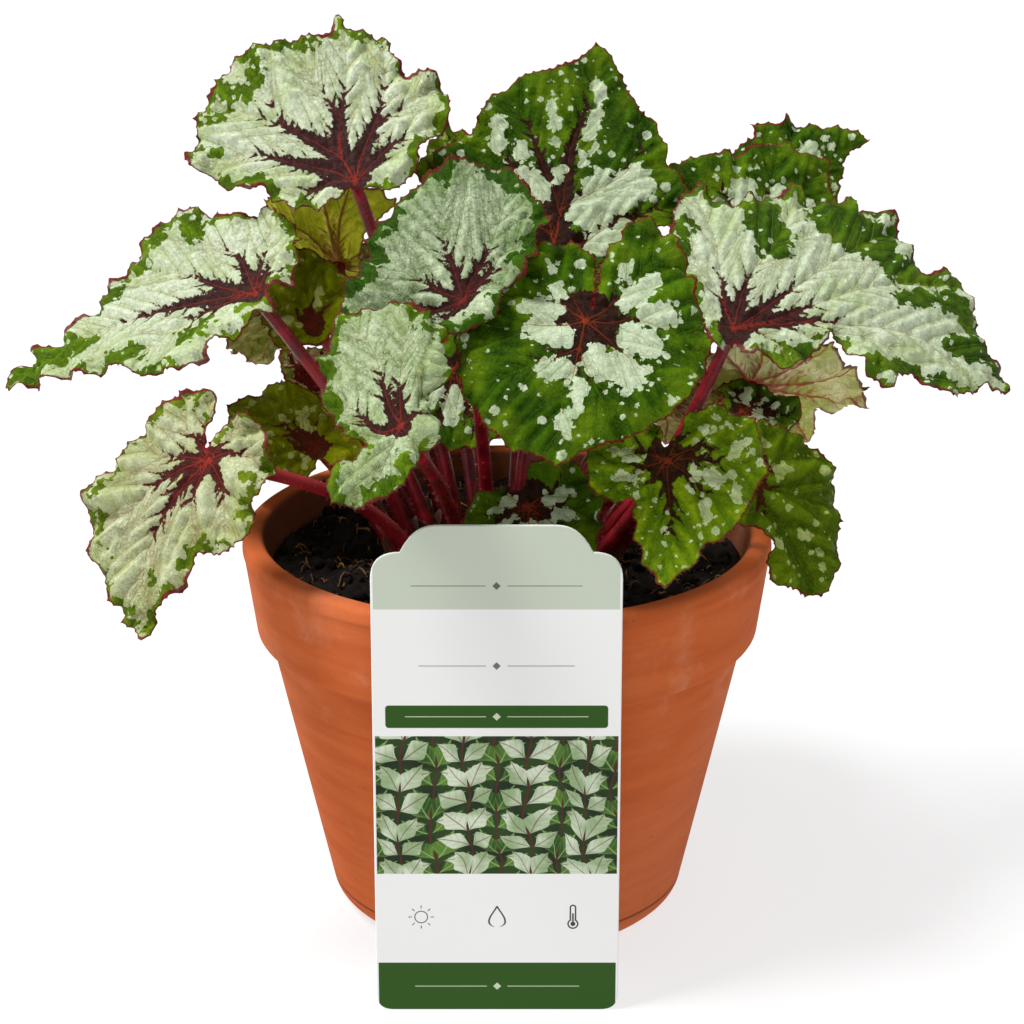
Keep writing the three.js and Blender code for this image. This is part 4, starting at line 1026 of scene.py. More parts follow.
# How far patches stray from their bars, how strong the side veins' lines are, how wide the red
# margin gets and how glossy the leaf is, on a silver ground and on the others.
SILVERY = {"stray": 11, "rib": 0.55, "rim": 0.9, "gloss": 0.11}
LEAFY = {"stray": 6, "rib": 0.3, "rim": 0.4, "gloss": 0.06}
LIME_STRAY = 10
CROWD = {"green": 0.85, "lime": 1.3, "olive": 0.95, "gold": 0.5}      # how many silver dots there are
# Painted light: GLOWING and GLOW give the green leaves a yellow-green glow that stands in for light falling
# on and shining through them.
GLOWING = {"green": 0.5, "pine": 0.5}                                 # how bright the green gets in places
GLOW = (110, 138, 10)
UNDERSIDES = {                  # the pale, the green and the red tone
    "silver": ((168, 170, 84), (124, 136, 40), (110, 18, 18)),
    "green": ((142, 152, 40), (94, 116, 14), (104, 24, 14)),
    # The olive underside's pale and green tones are brighter than its own colour: painted light for the
    # light that shines through the leaf.
    "olive": ((224, 226, 56), (170, 180, 6), (118, 20, 10)),
    "cream": ((214, 214, 156), (172, 182, 84), (152, 12, 14)),
}


def blade_top(name, ground):
    """The upper face: silver and green areas, a dark star, veins and a red margin."""
    s = Shader("blade_top_" + name)
    tones = {part: srgb(*tone) for part, tone in zip(TONE_PARTS, TONES[name])}
    look = SILVERY if ground == "silver" else LEAFY
    x, y, rim = s.attribute("plan")
    off, along, near = s.attribute("vein")
    rib_off, rib_along, rib_near = s.attribute("rib")
    star, patch, seed = s.attribute("mark")
    share, radius, _ = s.attribute("more")
    place = s.join(x, y, seed)
    tiny = s.noise(place, 1.6, 2)
    small = s.noise(place, 0.55, 3, 0.6)
    broad = s.noise(place, 0.09, 2)
    bent = s.join(x + small * 3, y + tiny * 2, seed)

    comb = s.zigzag((along - near * 1.1 + small * 5) / 2.6)
    star_share = s.rise(star + comb * 0.6 + (small - 0.5) * 1.1 + (tiny - 0.5) * 0.6 - 0.1, -0.15, 0.15)
    ragged = s.join(x + tiny * 1.6, y + small * 1.6, seed + 4)
    blotch = s.noise(ragged, 0.26, 2)
    lobes = (0.42 - s.cells(place, 0.42)) * 2.8 + (tiny - 0.5) * 1.8
    lobes = lobes + (blotch - 0.5) * (LIME_STRAY if name == "lime" else look["stray"])
    patch_share = s.rise(patch + lobes, -0.1, 0.1)
    if ground == "silver":
        islands = s.dots(ragged, 0.34, 0.36, 0.7)
        specks = s.dots(ragged, 0.45, 0.26, 0.5) * s.fall(rim + broad * 10, 6, 12)
        silver = 1 - s.larger(patch_share * (1 - islands), specks)
    else:
        large = s.dots(ragged, 0.24, 0.4, CROWD[name] * 0.8)
        fine = s.dots(s.join(x + 40 + small * 2, y + tiny * 2, seed), 0.42, 0.34, CROWD[name] * 0.6)
        where = s.rise(radius, 8, 13) * s.rise(rim, 0.5, 1.3)
        silver = s.larger(patch_share, s.larger(large, fine) * where)
        star_share = star_share * (1 - patch_share)

    net = s.rise(s.cells(bent, 0.5, "DISTANCE_TO_EDGE"), 0.0, 0.13)
    mesh = s.rise(s.cells(bent, 1.5, "DISTANCE_TO_EDGE"), 0.0, 0.2)
    # Painted shade: the silver darkens towards its shade tone in the grooves along the side veins. The fine
    # net and the noise are the silver's own mottling.
    groove_shade = s.fall(rib_near, 0, 1.6)
    weft = s.zigzag((rib_along + rib_near * 0.5 + small * 2) / 1.5)
    grain = groove_shade * 0.4 + (1 - net) * 0.22 + (1 - mesh) * 0.3 + (small - 0.4) * 0.5 + (broad - 0.5) * 0.9
    pale = s.mix(grain, tones["silver"], tones["shade"])
    tint = s.rise(broad + s.fall(rim, 1, 14) * 0.22, 0.5, 0.8)
    pale = s.mix(tint * 0.4, pale, tones["tint"])
    # Painted shade and light: the green darkens to its deep tone in the grooves along the side veins and
    # lightens on the pillows between them. The broad and small noise add the leaf's own changes of tone.
    pillow = s.rise(rib_near, 0.2, 2.4) * 0.6 + broad * 0.5 + (small - 0.5) * 0.5
    green = s.mix(pillow - (1 - net) * 0.12, tones["deep"], tones["green"])
    # Painted light: in broad random patches, a little more towards the margin, the green brightens to a
    # yellow-green glow.
    glow = s.rise(broad + s.fall(rim, 0, 12) * 0.1, 0.48, 0.75) * GLOWING.get(name, 0)
    green = s.mix(glow, green, srgb(*GLOW))
    colour = s.mix(silver, green, pale)

    main_line = s.fall(abs(off) + share * 0.2, 0.05, 0.34) * s.fall(near, 1, 1.5)
    rib_line = s.fall(abs(rib_off) + rib_along * 0.005, 0.0, 0.26) * s.fall(rib_near, 1, 1.5)
    line_tone = s.mix(silver, tones["faint"], tones["line"])
    colour = s.mix(s.larger(rib_line * look["rib"], main_line * 0.75), colour, line_tone)
    # The dark star takes paler, greyer mottles: partly its own mottling, partly a painted sheen.
    dark = s.mix(s.rise(small, 0.3, 0.8) * 0.7, tones["star"], tones["star_pale"])
    colour = s.mix(star_share, colour, dark)
    in_star = s.rise(star, -0.8, 0.6)
    red_line = main_line * (0.85 - s.rise(share, 0.05, 0.45) * 0.4)
    colour = s.mix(s.larger(red_line, rib_line * 0.15) * in_star, colour, tones["vein"])
    colour = s.mix(s.fall(radius, 0.5, 1.3), colour, tones["vein"])
    rim_width = 0.25 + s.rise(s.noise(place, 0.08), 0.48, 0.66) * look["rim"] + (tiny - 0.5) * 0.8
    colour = s.mix(s.fall(rim - rim_width, -0.1, 0.3) * 0.9, colour, tones["rim"])

    relief = net * 0.13 + mesh * 0.1 + tiny * 0.1 + small * 0.32 + weft * 0.08 + main_line * 0.2
    roughness = 0.4 + silver * 0.1 + tiny * 0.1
    return s.finish(colour, roughness, relief - rib_line * 0.18, specular_ior_level=look["gloss"])


def blade_under(name):
    """The lower face: pale, with raised red veins and red that fades out from them."""
    s = Shader("blade_under_" + name)
    pale_tone, green_tone, red_tone = (srgb(*tone) for tone in UNDERSIDES[name])
    x, y, rim = s.attribute("plan")
    off, along, near = s.attribute("vein")
    rib_off, rib_along, rib_near = s.attribute("rib")
    star, _, seed = s.attribute("mark")
    share = s.attribute("more")[0]
    place = s.join(x, y, seed)
    small = s.noise(place, 0.5, 3, 0.6)
    tiny = s.noise(place, 1.8, 2)
    broad = s.noise(place, 0.07, 2)
    net = s.rise(s.cells(s.join(x + small * 3, y, seed), 0.45, "DISTANCE_TO_EDGE"), 0.0, 0.14)
    ground = s.mix(s.rise(broad + (small - 0.5) * 0.3, 0.35, 0.65), green_tone, pale_tone)
    ground = s.mix((1 - net) * 0.08, ground, red_tone)
    comb = s.zigzag((along - near + small * 2) / 2.6)
    feather = s.rise(star + comb * 1.5 + (small - 0.5) * 3, -0.2, 1.6)
    main_line = s.fall(abs(off) + share * 0.5, 0.5, 1.0) * s.fall(near, 1.2, 1.8)
    rib_line = s.fall(abs(rib_off) + rib_along * 0.03, 0.15, 0.5) * s.fall(rib_near, 1, 1.5)
    red = s.larger(s.larger(main_line * 0.85, rib_line * 0.5), feather * 0.75)
    colour = s.mix(red, ground, red_tone)
    edge = s.fall(rim + (tiny - 0.5) * 0.8, 0.3, 1)
    colour = s.mix(edge * 0.8, colour, srgb(116, 34, 34))
    relief = net * 0.2 + tiny * 0.2 + main_line * 0.2
    return s.finish(colour, 0.5 + tiny * 0.15, relief, 0.8, specular_ior_level=0.22)


def hair_material(name, scale, tone, other_tone):
    """Hairs or bristles, which differ in tone along and among them."""
    s = Shader(name)
    return s.finish(s.mix(s.noise(s.object_place(), scale), srgb(*tone), srgb(*other_tone)), 0.4)


def make_leaves():
    tops = {name: blade_top(name, ground) for ground, names in GROUNDS.items() for name in names.split()}
    unders = {name: blade_under(name) for name in UNDERSIDES}
    hair = hair_material("leaf_hair", 150, (120, 36, 36), (186, 120, 104))
    for number, name in enumerate(LEAVES):
        blade = Blade(number, name)
        under = blade.marking.get("under", blade.marking["ground"])
        prefix = name.split("_")[0]
        slot = "leaf_" + (prefix if prefix in ("silver", "green") else "olive")
        blade.make([tops[blade.marking["tones"]], unders[under], hair])


# ---------------------------------------------------------------- petioles


def petiole_curve(leaf):
    """The petiole's centreline from the rhizome to the blade's underside."""
    out = leaf_axes(leaf)[2]
    hub = np.array(leaf["hub"], float)
    top = hub - out * (CAD_THICKNESS + PETIOLE["seat"])
    hook = top - out * PETIOLE["hook"]
    x, y = leaf["foot"]
    (cx, cy, cz), (hx, hy, hz) = RHIZOME["centre"], RHIZOME["half"]
    flatness = ((x - cx) / hx) ** 2 + ((y - cy) / hy) ** 2
    foot = np.array([x, y, cz + hz * math.sqrt(max(1 - flatness, 0.1)) - PETIOLE["sink"]])
    reach = np.linalg.norm(hub - foot)
    lean, lift = leaf["rise"]
    rise = foot + np.array([lean * (hub[0] - x), lean * (hub[1] - y), lift * reach])
    t = np.linspace(0, 1, PETIOLE["steps"])[:, None]
    line = foot * (1 - t) ** 3 + 3 * rise * t * (1 - t) ** 2 + 3 * hook * t ** 2 * (1 - t) + top * t ** 3
    return np.concatenate([line, [hub - out * PETIOLE["tip"]]])


def frames_along(line):
    """Unit vectors along a line and two ways across it, at each of its points, carried on untwisted."""
    ways = unit(np.gradient(line, axis=0))
    side = unit(np.cross(ways[0], [0.2, 1, 0.1]))
    sides = []
    for way in ways:
        side = unit(side - way * (side @ way))
        sides.append(side)
    sides = np.array(sides)
    return ways, sides, np.cross(ways, sides)


def tube(line, radii, around, ridges=0):
    """A closed tube with a radius at each point of its line. Gives points and faces."""
    _, sides, others = frames_along(line)
    angle = angles_round(around)
    swell = 1 + ridges * np.cos(5 * angle)
    ring = np.cos(angle)[None, :, None] * sides[:, None] + np.sin(angle)[None, :, None] * others[:, None]
    points = line[:, None] + ring * (radii[:, None] * swell)[..., None]
    points = np.concatenate([points.reshape(-1, 3), line[:1], line[-1:]])
    return points, tube_faces(len(line), around)


def petiole_material():
    s = Shader("petiole")
    place = s.object_place()
    streaks = s.noise(place, 160, 3)
    broad = s.noise(place, 25)
    tone = s.mix(s.rise(streaks, 0.3, 0.75), srgb(88, 2, 10), srgb(148, 10, 28))
    tone = s.mix(s.rise(broad, 0.55, 0.8) * 0.5, tone, srgb(184, 52, 56))
    return s.finish(tone, 0.3 + streaks * 0.15, streaks * 0.4, 0.6, specular_ior_level=0.4)


def make_petioles():
    skin = petiole_material()
    bristle = hair_material("bristle", 200, (196, 132, 118), (146, 44, 46))
    for number, (name, leaf) in enumerate(LEAVES.items()):
        random = np.random.default_rng(SEEDS["petiole"] + number)
        line = petiole_curve(leaf)
        share = np.linspace(0, 1, len(line))
        radii = PETIOLE["radius"] * (1.0 - 0.16 * share + 0.25 * np.exp(-share * 18))
        radii[-6:] *= (1.0, 1.02, 1.06, 1.12, 1.18, 0.9)
        points, faces = tube(line, radii, PETIOLE["around"], PETIOLE["ridges"])
        ways, sides, others = frames_along(line)
        count = int(step_lengths(line).sum() * BRISTLES_PER_MM)
        at = random.integers(3, len(line) - 5, count)
        angle = random.uniform(0, TURN, count)
        out = sides[at] * np.cos(angle)[:, None] + others[at] * np.sin(angle)[:, None]
        root = line[at] + out * (radii[at] * 0.96)[:, None]
        way = unit(out + ways[at] * random.uniform(-0.2, 0.7, count)[:, None])
        lengths = random.uniform(*HAIRS["petiole"], count)
        hairs, hair_faces = hair_solids(root, way, lengths, HAIRS["petiole_radius"])
        kinds = [0] * len(faces) + [1] * len(hair_faces)
        add_piece(
            "stem_" + name, np.concatenate([points, hairs]),
            faces + (hair_faces + len(points)).tolist(), [skin, bristle],
            ["petiole_" + name], face_materials=kinds)


# ---------------------------------------------------------------- pot

POT = {
    "height": 120, "rim_radius": 81, "collar_top": 80, "collar_bottom": 77.3, "collar_z": 89,
    "body_top": 73.5, "base": 54, "corner": 4, "wall": 6, "floor": 8, "mouth": 74.5, "hole": 9,
    "step": 3, "around": 240, "foot_line": 7.5,
}
# The inside's radius at the foot of the collar.
SHELF_RADIUS = POT["collar_bottom"] - POT["wall"] - POT["step"]


def pot_profile():
    """The section from the drainage hole round the outside and back, with round corners."""
    height = POT["height"]
    corners = [
        (POT["hole"], 0, 0.6), (POT["base"] - POT["corner"], 0, 2), (POT["base"] + 0.5, POT["corner"], 2.5),
        (POT["body_top"], POT["collar_z"] + 0.8, 1.2),
        (POT["collar_bottom"] - 0.4, POT["collar_z"] + 0.2, 1.4),
        (POT["collar_top"] + 0.4, height - 6, 3), (POT["rim_radius"], height - 4.5, 1.2),
        (POT["rim_radius"] - 0.6, height, 2.6), (POT["mouth"], height, 2),
        (SHELF_RADIUS, POT["collar_z"], 3), (POT["base"] - POT["wall"], POT["floor"], 4),
        (POT["hole"], POT["floor"], 1)]
    points = []
    for i, (x, z, radius) in enumerate(corners):
        here = np.array([x, z], float)
        before = np.array(corners[i - 1][:2], float)
        after = np.array(corners[(i + 1) % len(corners)][:2], float)
        a, b = (
            here + unit(end - here) * min(radius, math.dist(here, end) * 0.45) for end in (before, after))
        for t in np.linspace(0, 1, 6):
            points.append(a * (1 - t) ** 2 + 2 * here * t * (1 - t) + b * t ** 2)
    dense = []
    for i, point in enumerate(points):
        ahead = points[(i + 1) % len(points)]
        steps = max(1, math.ceil(math.dist(point, ahead) / 3))
        dense.extend(point + (ahead - point) * k / steps for k in range(steps))
    return np.array(dense)


def lathe(profile, around):
    """Turns a closed section, (radius, z), about the upright axis."""
    angle = angles_round(around)
    ring = np.stack([np.cos(angle), np.sin(angle)], 1)
    points = np.empty((around, len(profile), 3))
    points[..., :2] = profile[None, :, 0:1] * ring[:, None]
    points[..., 2] = profile[None, :, 1]
    count = len(profile)
    i, j = np.meshgrid(np.arange(around), np.arange(count), indexing="ij")
    a, b = i * count + j, i * count + (j + 1) % count
    c, d = ((i + 1) % around) * count + (j + 1) % count, ((i + 1) % around) * count + j
    return points.reshape(-1, 3), np.stack([a, d, c, b], -1).reshape(-1, 4)


def clay_material():
    s = Shader("terracotta")
    place = s.object_place()
    x, y, z = s.split(place)
    streaks = s.noise(s.join(x, y, z * 9), 22, 4, 0.6)
    broad = s.noise(place, 14, 3)
    grain = s.noise(place, 900, 2)
    pits = s.rise(s.cells(place, 420), 0.08, 0.2)
    sparse = s.rise(s.noise(place, 90, 2), 0.58, 0.66)
    tone = s.mix(s.rise(streaks, 0.3, 0.7), srgb(184, 87, 41), srgb(197, 99, 51))
    tone = s.mix(s.rise(broad, 0.4, 0.75) * 0.45, tone, srgb(206, 120, 80))
    bloom = s.rise(s.noise(place, 45, 4, 0.65) + z * 1.2, 0.62, 0.85)
    tone = s.mix(bloom * 0.2, tone, srgb(216, 170, 138))
    tone = s.mix((1 - pits) * sparse * 0.7, tone, srgb(126, 62, 34))
    tone = s.mix(grain * 0.25, tone, srgb(160, 84, 50))
    # Painted shade: inside the pot, from a little above the collar's shelf to just under the lip, the wall
    # is darkened to a deep brown.
    reach = s.math("SQRT", x * x + y * y) + (broad - 0.5) * (3 * MM)
    mouth, shelf, lip = POT["mouth"] * MM, POT["collar_z"] * MM, POT["height"] * MM
    inner_wall_shade = s.fall(reach, mouth, mouth + 1.5 * MM) * s.rise(z, shelf + 3 * MM, shelf + 7 * MM)
    inner_wall_shade = inner_wall_shade * s.fall(z, lip - 1.5 * MM, lip + 0.5 * MM)
    tone = s.mix(inner_wall_shade * 0.8, tone, srgb(92, 60, 44))
    base_line = s.rise(abs(z - POT["foot_line"] * MM), 0.2 * MM, 0.6 * MM)
    tone = s.mix(base_line, srgb(130, 66, 38), tone)
    relief = grain * 0.06 + pits * sparse * 0.12 + streaks * 0.08 + base_line * 0.15
    return s.finish(tone, 0.78 + grain * 0.12, relief, specular_ior_level=0.07)


def make_pot():
    points, faces = lathe(pot_profile(), POT["around"])
    add_piece("clay_pot", points, faces.tolist(), [clay_material()], ["pot"])


# ---------------------------------------------------------------- soil and rhizome

SOIL = {"top": 109, "crumbs": 900, "fibres": 340, "around": 220, "ring": 1.1, "gap": 0.4,
        "side": (90, 60, 30)}
SCALES = {"count": 4, "height": (5, 9), "width": (0.7, 1.1), "thick": 0.25, "across": 5, "up": 7}


def pot_inside(z):
    """The radius of the pot's inside at height z."""
    heights = (POT["floor"], POT["collar_z"], POT["height"] - 1.5)
    return np.interp(z, heights, (POT["base"] - POT["wall"], SHELF_RADIUS, POT["mouth"]))


def soil_height(x, y):
    """How high the rough top of the soil is at each place."""
    random = np.random.default_rng(SEEDS["soil"])
    broad = waves(x, y, random, 24)
    lumps = waves(x, y, random, 7)
    grit = waves(x, y, random, 2.6, 20)
    return SOIL["top"] + 0.6 + 0.8 * broad + 0.75 * np.abs(lumps) + 0.4 * grit


def earth_material():
    s = Shader("soil")
    place = s.object_place()
    fine = s.noise(place, 600, 4, 0.7)
    lumps = s.noise(place, 160, 3)
    tone = s.mix(s.rise(fine, 0.35, 0.75), srgb(8, 5, 3), srgb(32, 21, 14))
    tone = s.mix(s.rise(lumps, 0.6, 0.8) * 0.4, tone, srgb(58, 38, 24))
    return s.finish(tone, 0.9, fine * 0.8 + lumps * 0.5, specular_ior_level=0.2)


def fibre_material():
    s = Shader("fibre")
    place = s.object_place()
    tone = s.mix(s.rise(s.noise(place, 90), 0.4, 0.65), srgb(70, 44, 18), srgb(164, 116, 52))
    return s.finish(tone, 0.7, s.noise(place, 900) * 0.2)


def make_soil():
    around, ring, gap = SOIL["around"], SOIL["ring"], SOIL["gap"]
    shelf = pot_inside(SOIL["top"]) - gap
    radii = np.concatenate([np.arange(ring, shelf - 1, ring), [shelf]])
    angle = angles_round(around)
    x = radii[:, None] * np.cos(angle)
    y = radii[:, None] * np.sin(angle)
    z = soil_height(x, y)
    z[-1] = SOIL["top"] - 0.5
    bottom = POT["floor"] + 0.3
    side = []
    for level in (*SOIL["side"], bottom):
        radius = pot_inside(level) - gap
        side.append((radius * np.cos(angle), radius * np.sin(angle), np.full(around, float(level))))
    rows = [np.stack(row, 1) for row in [*zip(x, y, z), *side]]
    points = np.concatenate([*rows, [[0, 0, soil_height(np.zeros(1), np.zeros(1))[0]], [0, 0, bottom]]])
    faces = [[face[0], *face[:0:-1]] for face in tube_faces(len(rows), around)]
    earth = earth_material()
    add_piece("potting_soil", points, faces, [earth], ["soil"])
    make_crumbs(earth, shelf)
    make_fibres(shelf)


def lump_template():
    """A small ball, as points and faces."""
    bpy.ops.mesh.primitive_ico_sphere_add(subdivisions=2, radius=1)
    ball = bpy.context.object
    points = np.array([vertex.co for vertex in ball.data.vertices])
    faces = np.array([polygon.vertices for polygon in ball.data.polygons])
    mesh = ball.data
    bpy.data.objects.remove(ball)
    bpy.data.meshes.remove(mesh)
    return points, faces


def make_crumbs(material, shelf):
    random = np.random.default_rng(SEEDS["crumbs"])
    ball, ball_faces = lump_template()
    points, faces = [], []
    for i in range(SOIL["crumbs"]):
        x, y = scattered(random, 0.02, shelf - 3)
        size = 0.5 + 2.1 * random.random() ** 3
        bumps = 1 + 0.22 * np.sin(ball @ random.normal(0, 3.5, 3) + random.uniform(0, 6))
        squash = size * random.uniform(0.6, 1.1, 3)
        z = soil_height(np.array([x]), np.array([y]))[0] + 0.25 * size
        points.append(ball * bumps[:, None] * squash + (x, y, z))
        faces.append(ball_faces + i * len(ball))
    add_piece("soil_crumbs", np.concatenate(points), np.concatenate(faces).tolist(), [material], [])


def make_fibres(shelf):
    random = np.random.default_rng(SEEDS["fibres"])
    points, faces, start = [], [], 0
    for _ in range(SOIL["fibres"]):
        place = np.array(scattered(random, 0.1, shelf - 5))
        heading = random.uniform(0, TURN)
        line = []
        lift = random.uniform(0.2, 1.2)
        for k in range(6):
            z = soil_height(place[:1], place[1:])[0]
            line.append((*place, z + 0.5 + lift * math.sin(math.pi * k / 5)))
            heading += random.uniform(-0.5, 0.5)
            place = place + np.array([math.cos(heading), math.sin(heading)]) * random.uniform(0.4, 1.3)
            place *= min(1, (shelf - 2) / np.linalg.norm(place))
        some, some_faces = tube(np.array(line), np.full(6, random.uniform(0.12, 0.32)), 5)
        points.append(some)
        faces.extend([[index + start for index in face] for face in some_faces])
        start += len(some)
    add_piece("soil_fibres", np.concatenate(points), faces, [fibre_material()], [])


def rhizome_material():
    s = Shader("rhizome")
    place = s.object_place()
    x, y, z = s.split(place)
    rings = s.noise(s.join(x * 5, y, z), 70, 3)
    fine = s.noise(place, 500, 3)
    tone = s.mix(s.rise(rings, 0.35, 0.7), srgb(58, 26, 18), srgb(118, 66, 44))
    tone = s.mix(s.rise(fine, 0.5, 0.8) * 0.5, tone, srgb(150, 104, 66))
    return s.finish(tone, 0.65, rings * 0.8 + fine * 0.4)


def make_rhizome():
    """The creeping stem, with a ring of scales round each petiole's foot."""
    around = 120
    latitude = np.linspace(-math.pi / 2, math.pi / 2, around // 2)[1:-1]
    longitude = angles_round(around)
    la, lo = np.meshgrid(latitude, longitude, indexing="ij")
    x, y, z = np.cos(la) * np.cos(lo), np.cos(la) * np.sin(lo), np.sin(la)
    knob = np.sin(5 * x + 2) * np.cos(4 * y) + 0.5 * np.sin(7 * y)
    random = np.random.default_rng(SEEDS["rhizome"])
    swell = 1 + RHIZOME["lump"] * knob + 0.02 * waves(x * 40, y * 30 + z * 9, random, 5)
    place = np.stack([x * swell, y * swell, z * swell], -1).reshape(-1, 3)
    centre, half = np.array(RHIZOME["centre"], float), np.array(RHIZOME["half"], float)
    points = place * half + centre
    faces = tube_faces(len(latitude), around)
    poles = [centre - (0, 0, half[2]), centre + (0, 0, half[2])]
    points = [np.concatenate([points, poles])]
    start = len(points[0])
    for number, leaf in enumerate(LEAVES.values()):
        random = np.random.default_rng(SEEDS["scales"] + number)
        line = petiole_curve(leaf)
        for _ in range(SCALES["count"]):
            scale, scale_faces = papery_scale(line, random)
            points.append(scale)
            faces.extend((scale_faces + start).tolist())
            start += len(scale)
    add_piece("rootstock", np.concatenate(points), faces, [rhizome_material()], ["rhizome"])


def papery_scale(line, random):
    """A thin pointed scale that hugs the foot of a petiole."""
    across, up = SCALES["across"], SCALES["up"]
    height, width = random.uniform(*SCALES["height"]), random.uniform(*SCALES["width"])
    turn = random.uniform(0, TURN)
    foot = line[2] + (0, 0, -1.0)
    v, u = np.meshgrid(np.linspace(0, 1, up), np.linspace(-1, 1, across), indexing="ij")
    spread = width * (1 - v ** 2) + 0.05
    angle = turn + u * spread
    layers = []
    for extra in (SCALES["thick"], 0):
        radius = PETIOLE["radius"] * 1.15 + extra + 1.6 * v ** 2
        layers.append(np.stack([
            foot[0] + radius * np.cos(angle), foot[1] + radius * np.sin(angle), foot[2] + v * height], -1))
    points = np.concatenate([layer.reshape(-1, 3) for layer in layers])
    count = up * across
    i, j = np.meshgrid(np.arange(up - 1), np.arange(across - 1), indexing="ij")
    a = (i * across + j).ravel()
    outer = np.stack([a, a + 1, a + across + 1, a + across], 1)
    inner = outer[:, ::-1] + count
    rim = [*range(across), *range(2 * across - 1, count, across),
           *range(count - 2, count - across - 1, -1), *range(count - 2 * across, 0, -across)]
    ahead = rim[1:] + rim[:1]
    side = [[b, a, a + count, b + count] for a, b in zip(rim, ahead)]
    return points, np.concatenate([outer, inner, side])


# ---------------------------------------------------------------- plant label

LABEL = {
    "width": 70.6, "height": 150, "thickness": 1.2, "shoulder": 134, "notch": 142,
    "notch_half": 27, "arch_half": 15, "corner": 5, "lean": 1, "x": -2.8, "foot_y": -83.4,
    "header": 125.2, "bar": (89.3, 96.2), "bar_half": 31.6, "picture": (43.8, 86.8), "signs": 30,
    "footer": 15.3,
}


def curve_points(*controls, steps=10):
    """Points on a Bezier curve, without its last one."""
    t = np.linspace(0, 1, steps, endpoint=False)[:, None]
    order = len(controls) - 1
    return sum(
        math.comb(order, k) * t ** k * (1 - t) ** (order - k) * np.array(point, float)
        for k, point in enumerate(controls))


def label_outline():
    half, corner, height = LABEL["width"] / 2, LABEL["corner"], LABEL["height"]
    notch, arch = LABEL["notch_half"], LABEL["arch_half"]
    right = np.concatenate([
        curve_points((half - corner, 0), (half, 0), (half, corner)),
        curve_points((half, corner), (half, LABEL["shoulder"]), steps=2),
        curve_points((half, LABEL["shoulder"]), (half, LABEL["notch"]), (notch, LABEL["notch"])),
        curve_points((notch, LABEL["notch"]), (notch - 4, height), (arch + 4, height), (arch, height)),
        [[arch, height]]])
    return np.concatenate([right, (right * (-1, 1))[::-1]])


def rounded_plate(outline, thickness, round_off):
    """A flat plate whose front faces -Y, with rounded edges."""
    ahead, behind = np.roll(outline, -1, 0), np.roll(outline, 1, 0)
    normal = unit(unit(ahead - outline)[:, ::-1] * (1, -1) + unit(outline - behind)[:, ::-1] * (1, -1))
    front = [(t, -thickness + round_off * (1 - math.cos(t))) for t in np.linspace(0, math.pi / 2, 4)]
    back = [(t, -round_off * (1 - math.cos(t))) for t in np.linspace(math.pi / 2, 0, 4)]
    rows = []
    for t, y in front + back:
        ring = outline - normal * round_off * (1 - math.sin(t))
        rows.append(np.stack([ring[:, 0], np.full(len(ring), y), ring[:, 1]], 1))
    count = len(outline)
    caps = [list(range(count)), list(range((len(rows) - 1) * count, len(rows) * count))[::-1]]
    walls = [[a, d, c, b] for a, b, c, d in wall_faces(len(rows), count)]
    return np.concatenate(rows), caps + walls


def printed_leaf(s, x, z, angle, length):
    """Where a plain pointed leaf that grows from (0, 0) covers the print, and where its veins are."""
    c, d = math.cos(math.radians(angle)), math.sin(math.radians(angle))
    along = x * c + z * d
    across = abs(z * c - x * d)
    share = s.rise(along, 0, length * 0.5) * s.fall(along, length * 0.4, length)
    blade = s.rise(share * length * 0.3 - across, 0.02, 0.16)
    ribs = s.fall(s.zigzag((along - across * 0.9) / 1.8), 0.0, 0.2) * s.rise(across, 0.1, 0.3)
    return blade, s.larger(s.fall(across, 0.1, 0.24), ribs * 0.5)


def label_foliage(s, x, z, paper):
    """The card's picture: sprigs with plain pointed leaves, in green and in silver."""
    low, high = LABEL["picture"]
    across, up = LABEL["width"] / 4, (high - low) / 3
    in_picture = s.between(z, low, high)
    x = x + (s.noise(s.join(x, z, 3), 0.045, 1) - 0.5) * 12
    z = z + (s.noise(s.join(x, z, 6), 0.045, 1) - 0.5) * 12
    shade = s.rise(s.noise(s.join(x, z, 9), 0.11, 2), 0.35, 0.65)
    colour = s.mix(shade, srgb(14, 34, 6), srgb(34, 62, 14))
    for shift, deep, light, rib in (
            (0, (36, 72, 10), (84, 122, 40), (150, 176, 110)),
            (0.5, (142, 166, 122), (204, 214, 190), (92, 30, 32))):
        side = s.math("PINGPONG", x + (20 + shift) * across, across / 2)
        rise = s.math("FLOORED_MODULO", z - low + shift * up, up)
        tone = s.mix(shade, srgb(*deep), srgb(*light))
        colour = s.mix(s.fall(side, 0.18, 0.3) * 0.8, colour, srgb(88, 22, 26))
        for step, angle, length in ((-2, 12, 8.5), (-1, 58, 11), (0, 34, 10), (1, 12, 8.5), (2, 58, 11)):
            blade, veins = printed_leaf(s, side, rise + step * up / 3, angle, length)
            colour = s.mix(blade, colour, s.mix(veins * 0.65, tone, srgb(*rib)))
    return s.mix(in_picture, paper, colour)


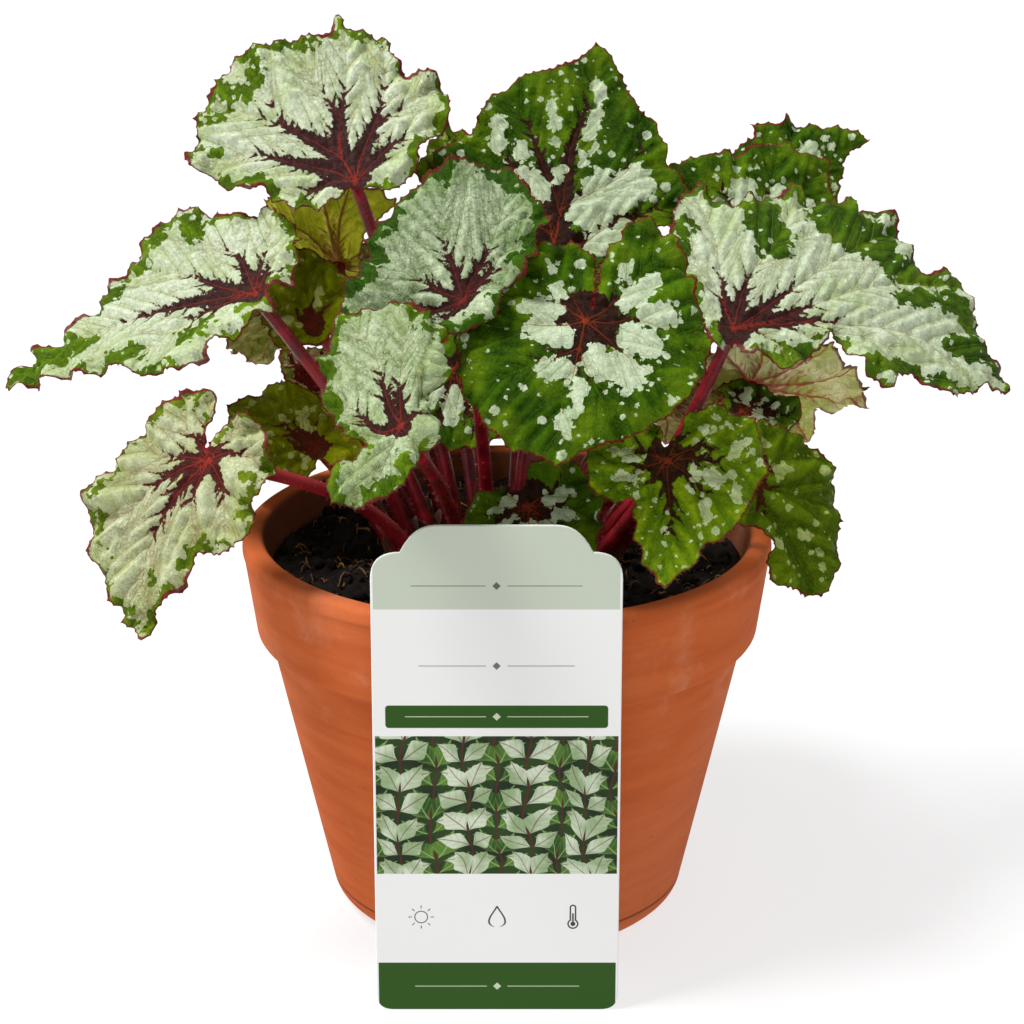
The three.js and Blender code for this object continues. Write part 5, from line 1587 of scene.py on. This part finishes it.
def label_signs(s, x, z):
    """Thin care signs: a sun, a drop of water and a thermometer. Gives where their lines are."""
    apart, line = 22, 0.2
    up = z - LABEL["signs"]
    reach = s.math("SQRT", (x + apart) * (x + apart) + up * up)
    rays = s.fall(s.zigzag(s.math("ARCTAN2", up, x + apart) * (8 / TURN)), 0.08, 0.14)
    sun = s.larger(s.between(reach, 1.7, 2.0), rays * s.between(reach, 2.7, 3.7))
    share = s.larger(s.math("MINIMUM", (up + 3.2) / 6.8, 1.0), 0.0)
    half = s.math("SQRT", share) * s.math("POWER", 1 - share, 1.4) * 7
    drop = s.fall(abs(abs(x) - half), line, line + 0.14) * s.between(up, -3.1, 3.5)
    side = x - apart
    bulb = s.math("SQRT", side * side + (up + 2.2) * (up + 2.2)) - 1.4
    clear = s.larger(abs(up - 1.1) - 1.9, 0.0)
    stem = s.math("SQRT", side * side + clear * clear) - 0.75
    gauge = s.fall(abs(s.math("MINIMUM", bulb, stem)), line * 0.8, line * 0.8 + 0.14)
    mercury = s.larger(s.fall(bulb, -0.75, -0.6), s.between(side, -0.25, 0.25) * s.between(up, -2, 1.2))
    return s.larger(s.larger(sun, drop), s.larger(gauge, mercury))


def label_material():
    """The card's print: plain bands, a picture of plain foliage, thin rules and care signs."""
    s = Shader("label")
    place = s.object_place()
    x, y, z = s.split(place)
    x, z = x * (1 / MM), z * (1 / MM)
    paper_grain = s.noise(place, 700, 2)
    white, sage, green = srgb(234, 234, 232), srgb(192, 200, 184), srgb(36, 78, 4)
    line_tone, pale_line = srgb(40, 62, 26), srgb(206, 216, 190)
    colour = s.mix(s.rise(z, LABEL["header"] - 0.08, LABEL["header"] + 0.08), white, sage)
    colour = s.mix(s.fall(z, LABEL["footer"] - 0.08, LABEL["footer"] + 0.08), colour, green)
    low, high = LABEL["bar"]
    past = s.larger(abs(x) - (LABEL["bar_half"] - 1), 0.0)
    over = s.larger(abs(z - (low + high) / 2) - ((high - low) / 2 - 1), 0.0)
    corner = s.math("SQRT", past * past + over * over)
    colour = s.mix(s.fall(corner, 0.92, 1.08), colour, green)
    colour = label_foliage(s, x, z, colour)
    for height, inner, outer, tone in (
            (LABEL["header"] + 7, 3, 24, line_tone), (LABEL["bar"][1] + 12, 3, 22, line_tone),
            ((low + high) / 2, 3, 26, pale_line), (LABEL["footer"] / 2, 3, 24, pale_line)):
        rule = s.between(z, height - 0.12, height + 0.12, 0.05) * s.between(abs(x), inner, outer)
        diamond = s.fall(abs(x) + abs(z - height), 1.1, 1.25)
        colour = s.mix(s.larger(rule, diamond) * 0.85, colour, tone)
    colour = s.mix(label_signs(s, x, z) * 0.95, colour, srgb(24, 26, 22))
    front = s.fall(y, -(LABEL["thickness"] - 0.15) * MM, -(LABEL["thickness"] - 0.4) * MM)
    edge = s.rise(abs(x), LABEL["width"] / 2 - 0.8, LABEL["width"] / 2 - 0.6)
    colour = s.mix(edge, colour, white)
    colour = s.mix(front, s.mix(0.1, white, sage), colour)
    return s.finish(colour, 0.42 + paper_grain * 0.08, paper_grain * 0.02, coat_weight=0.04,
                    specular_ior_level=0.22)


def make_label():
    points, faces = rounded_plate(label_outline(), LABEL["thickness"], 0.3)
    card = new_object("card", points, faces, [label_material()])
    card.location = (LABEL["x"] * MM, LABEL["foot_y"] * MM, 0)
    card.rotation_euler = (-math.radians(LABEL["lean"]), 0, 0)
    attach(card, ["plant_label"])


make_camera()
make_stage()
make_leaves()
make_petioles()
make_pot()
make_soil()
make_rhizome()
make_label()
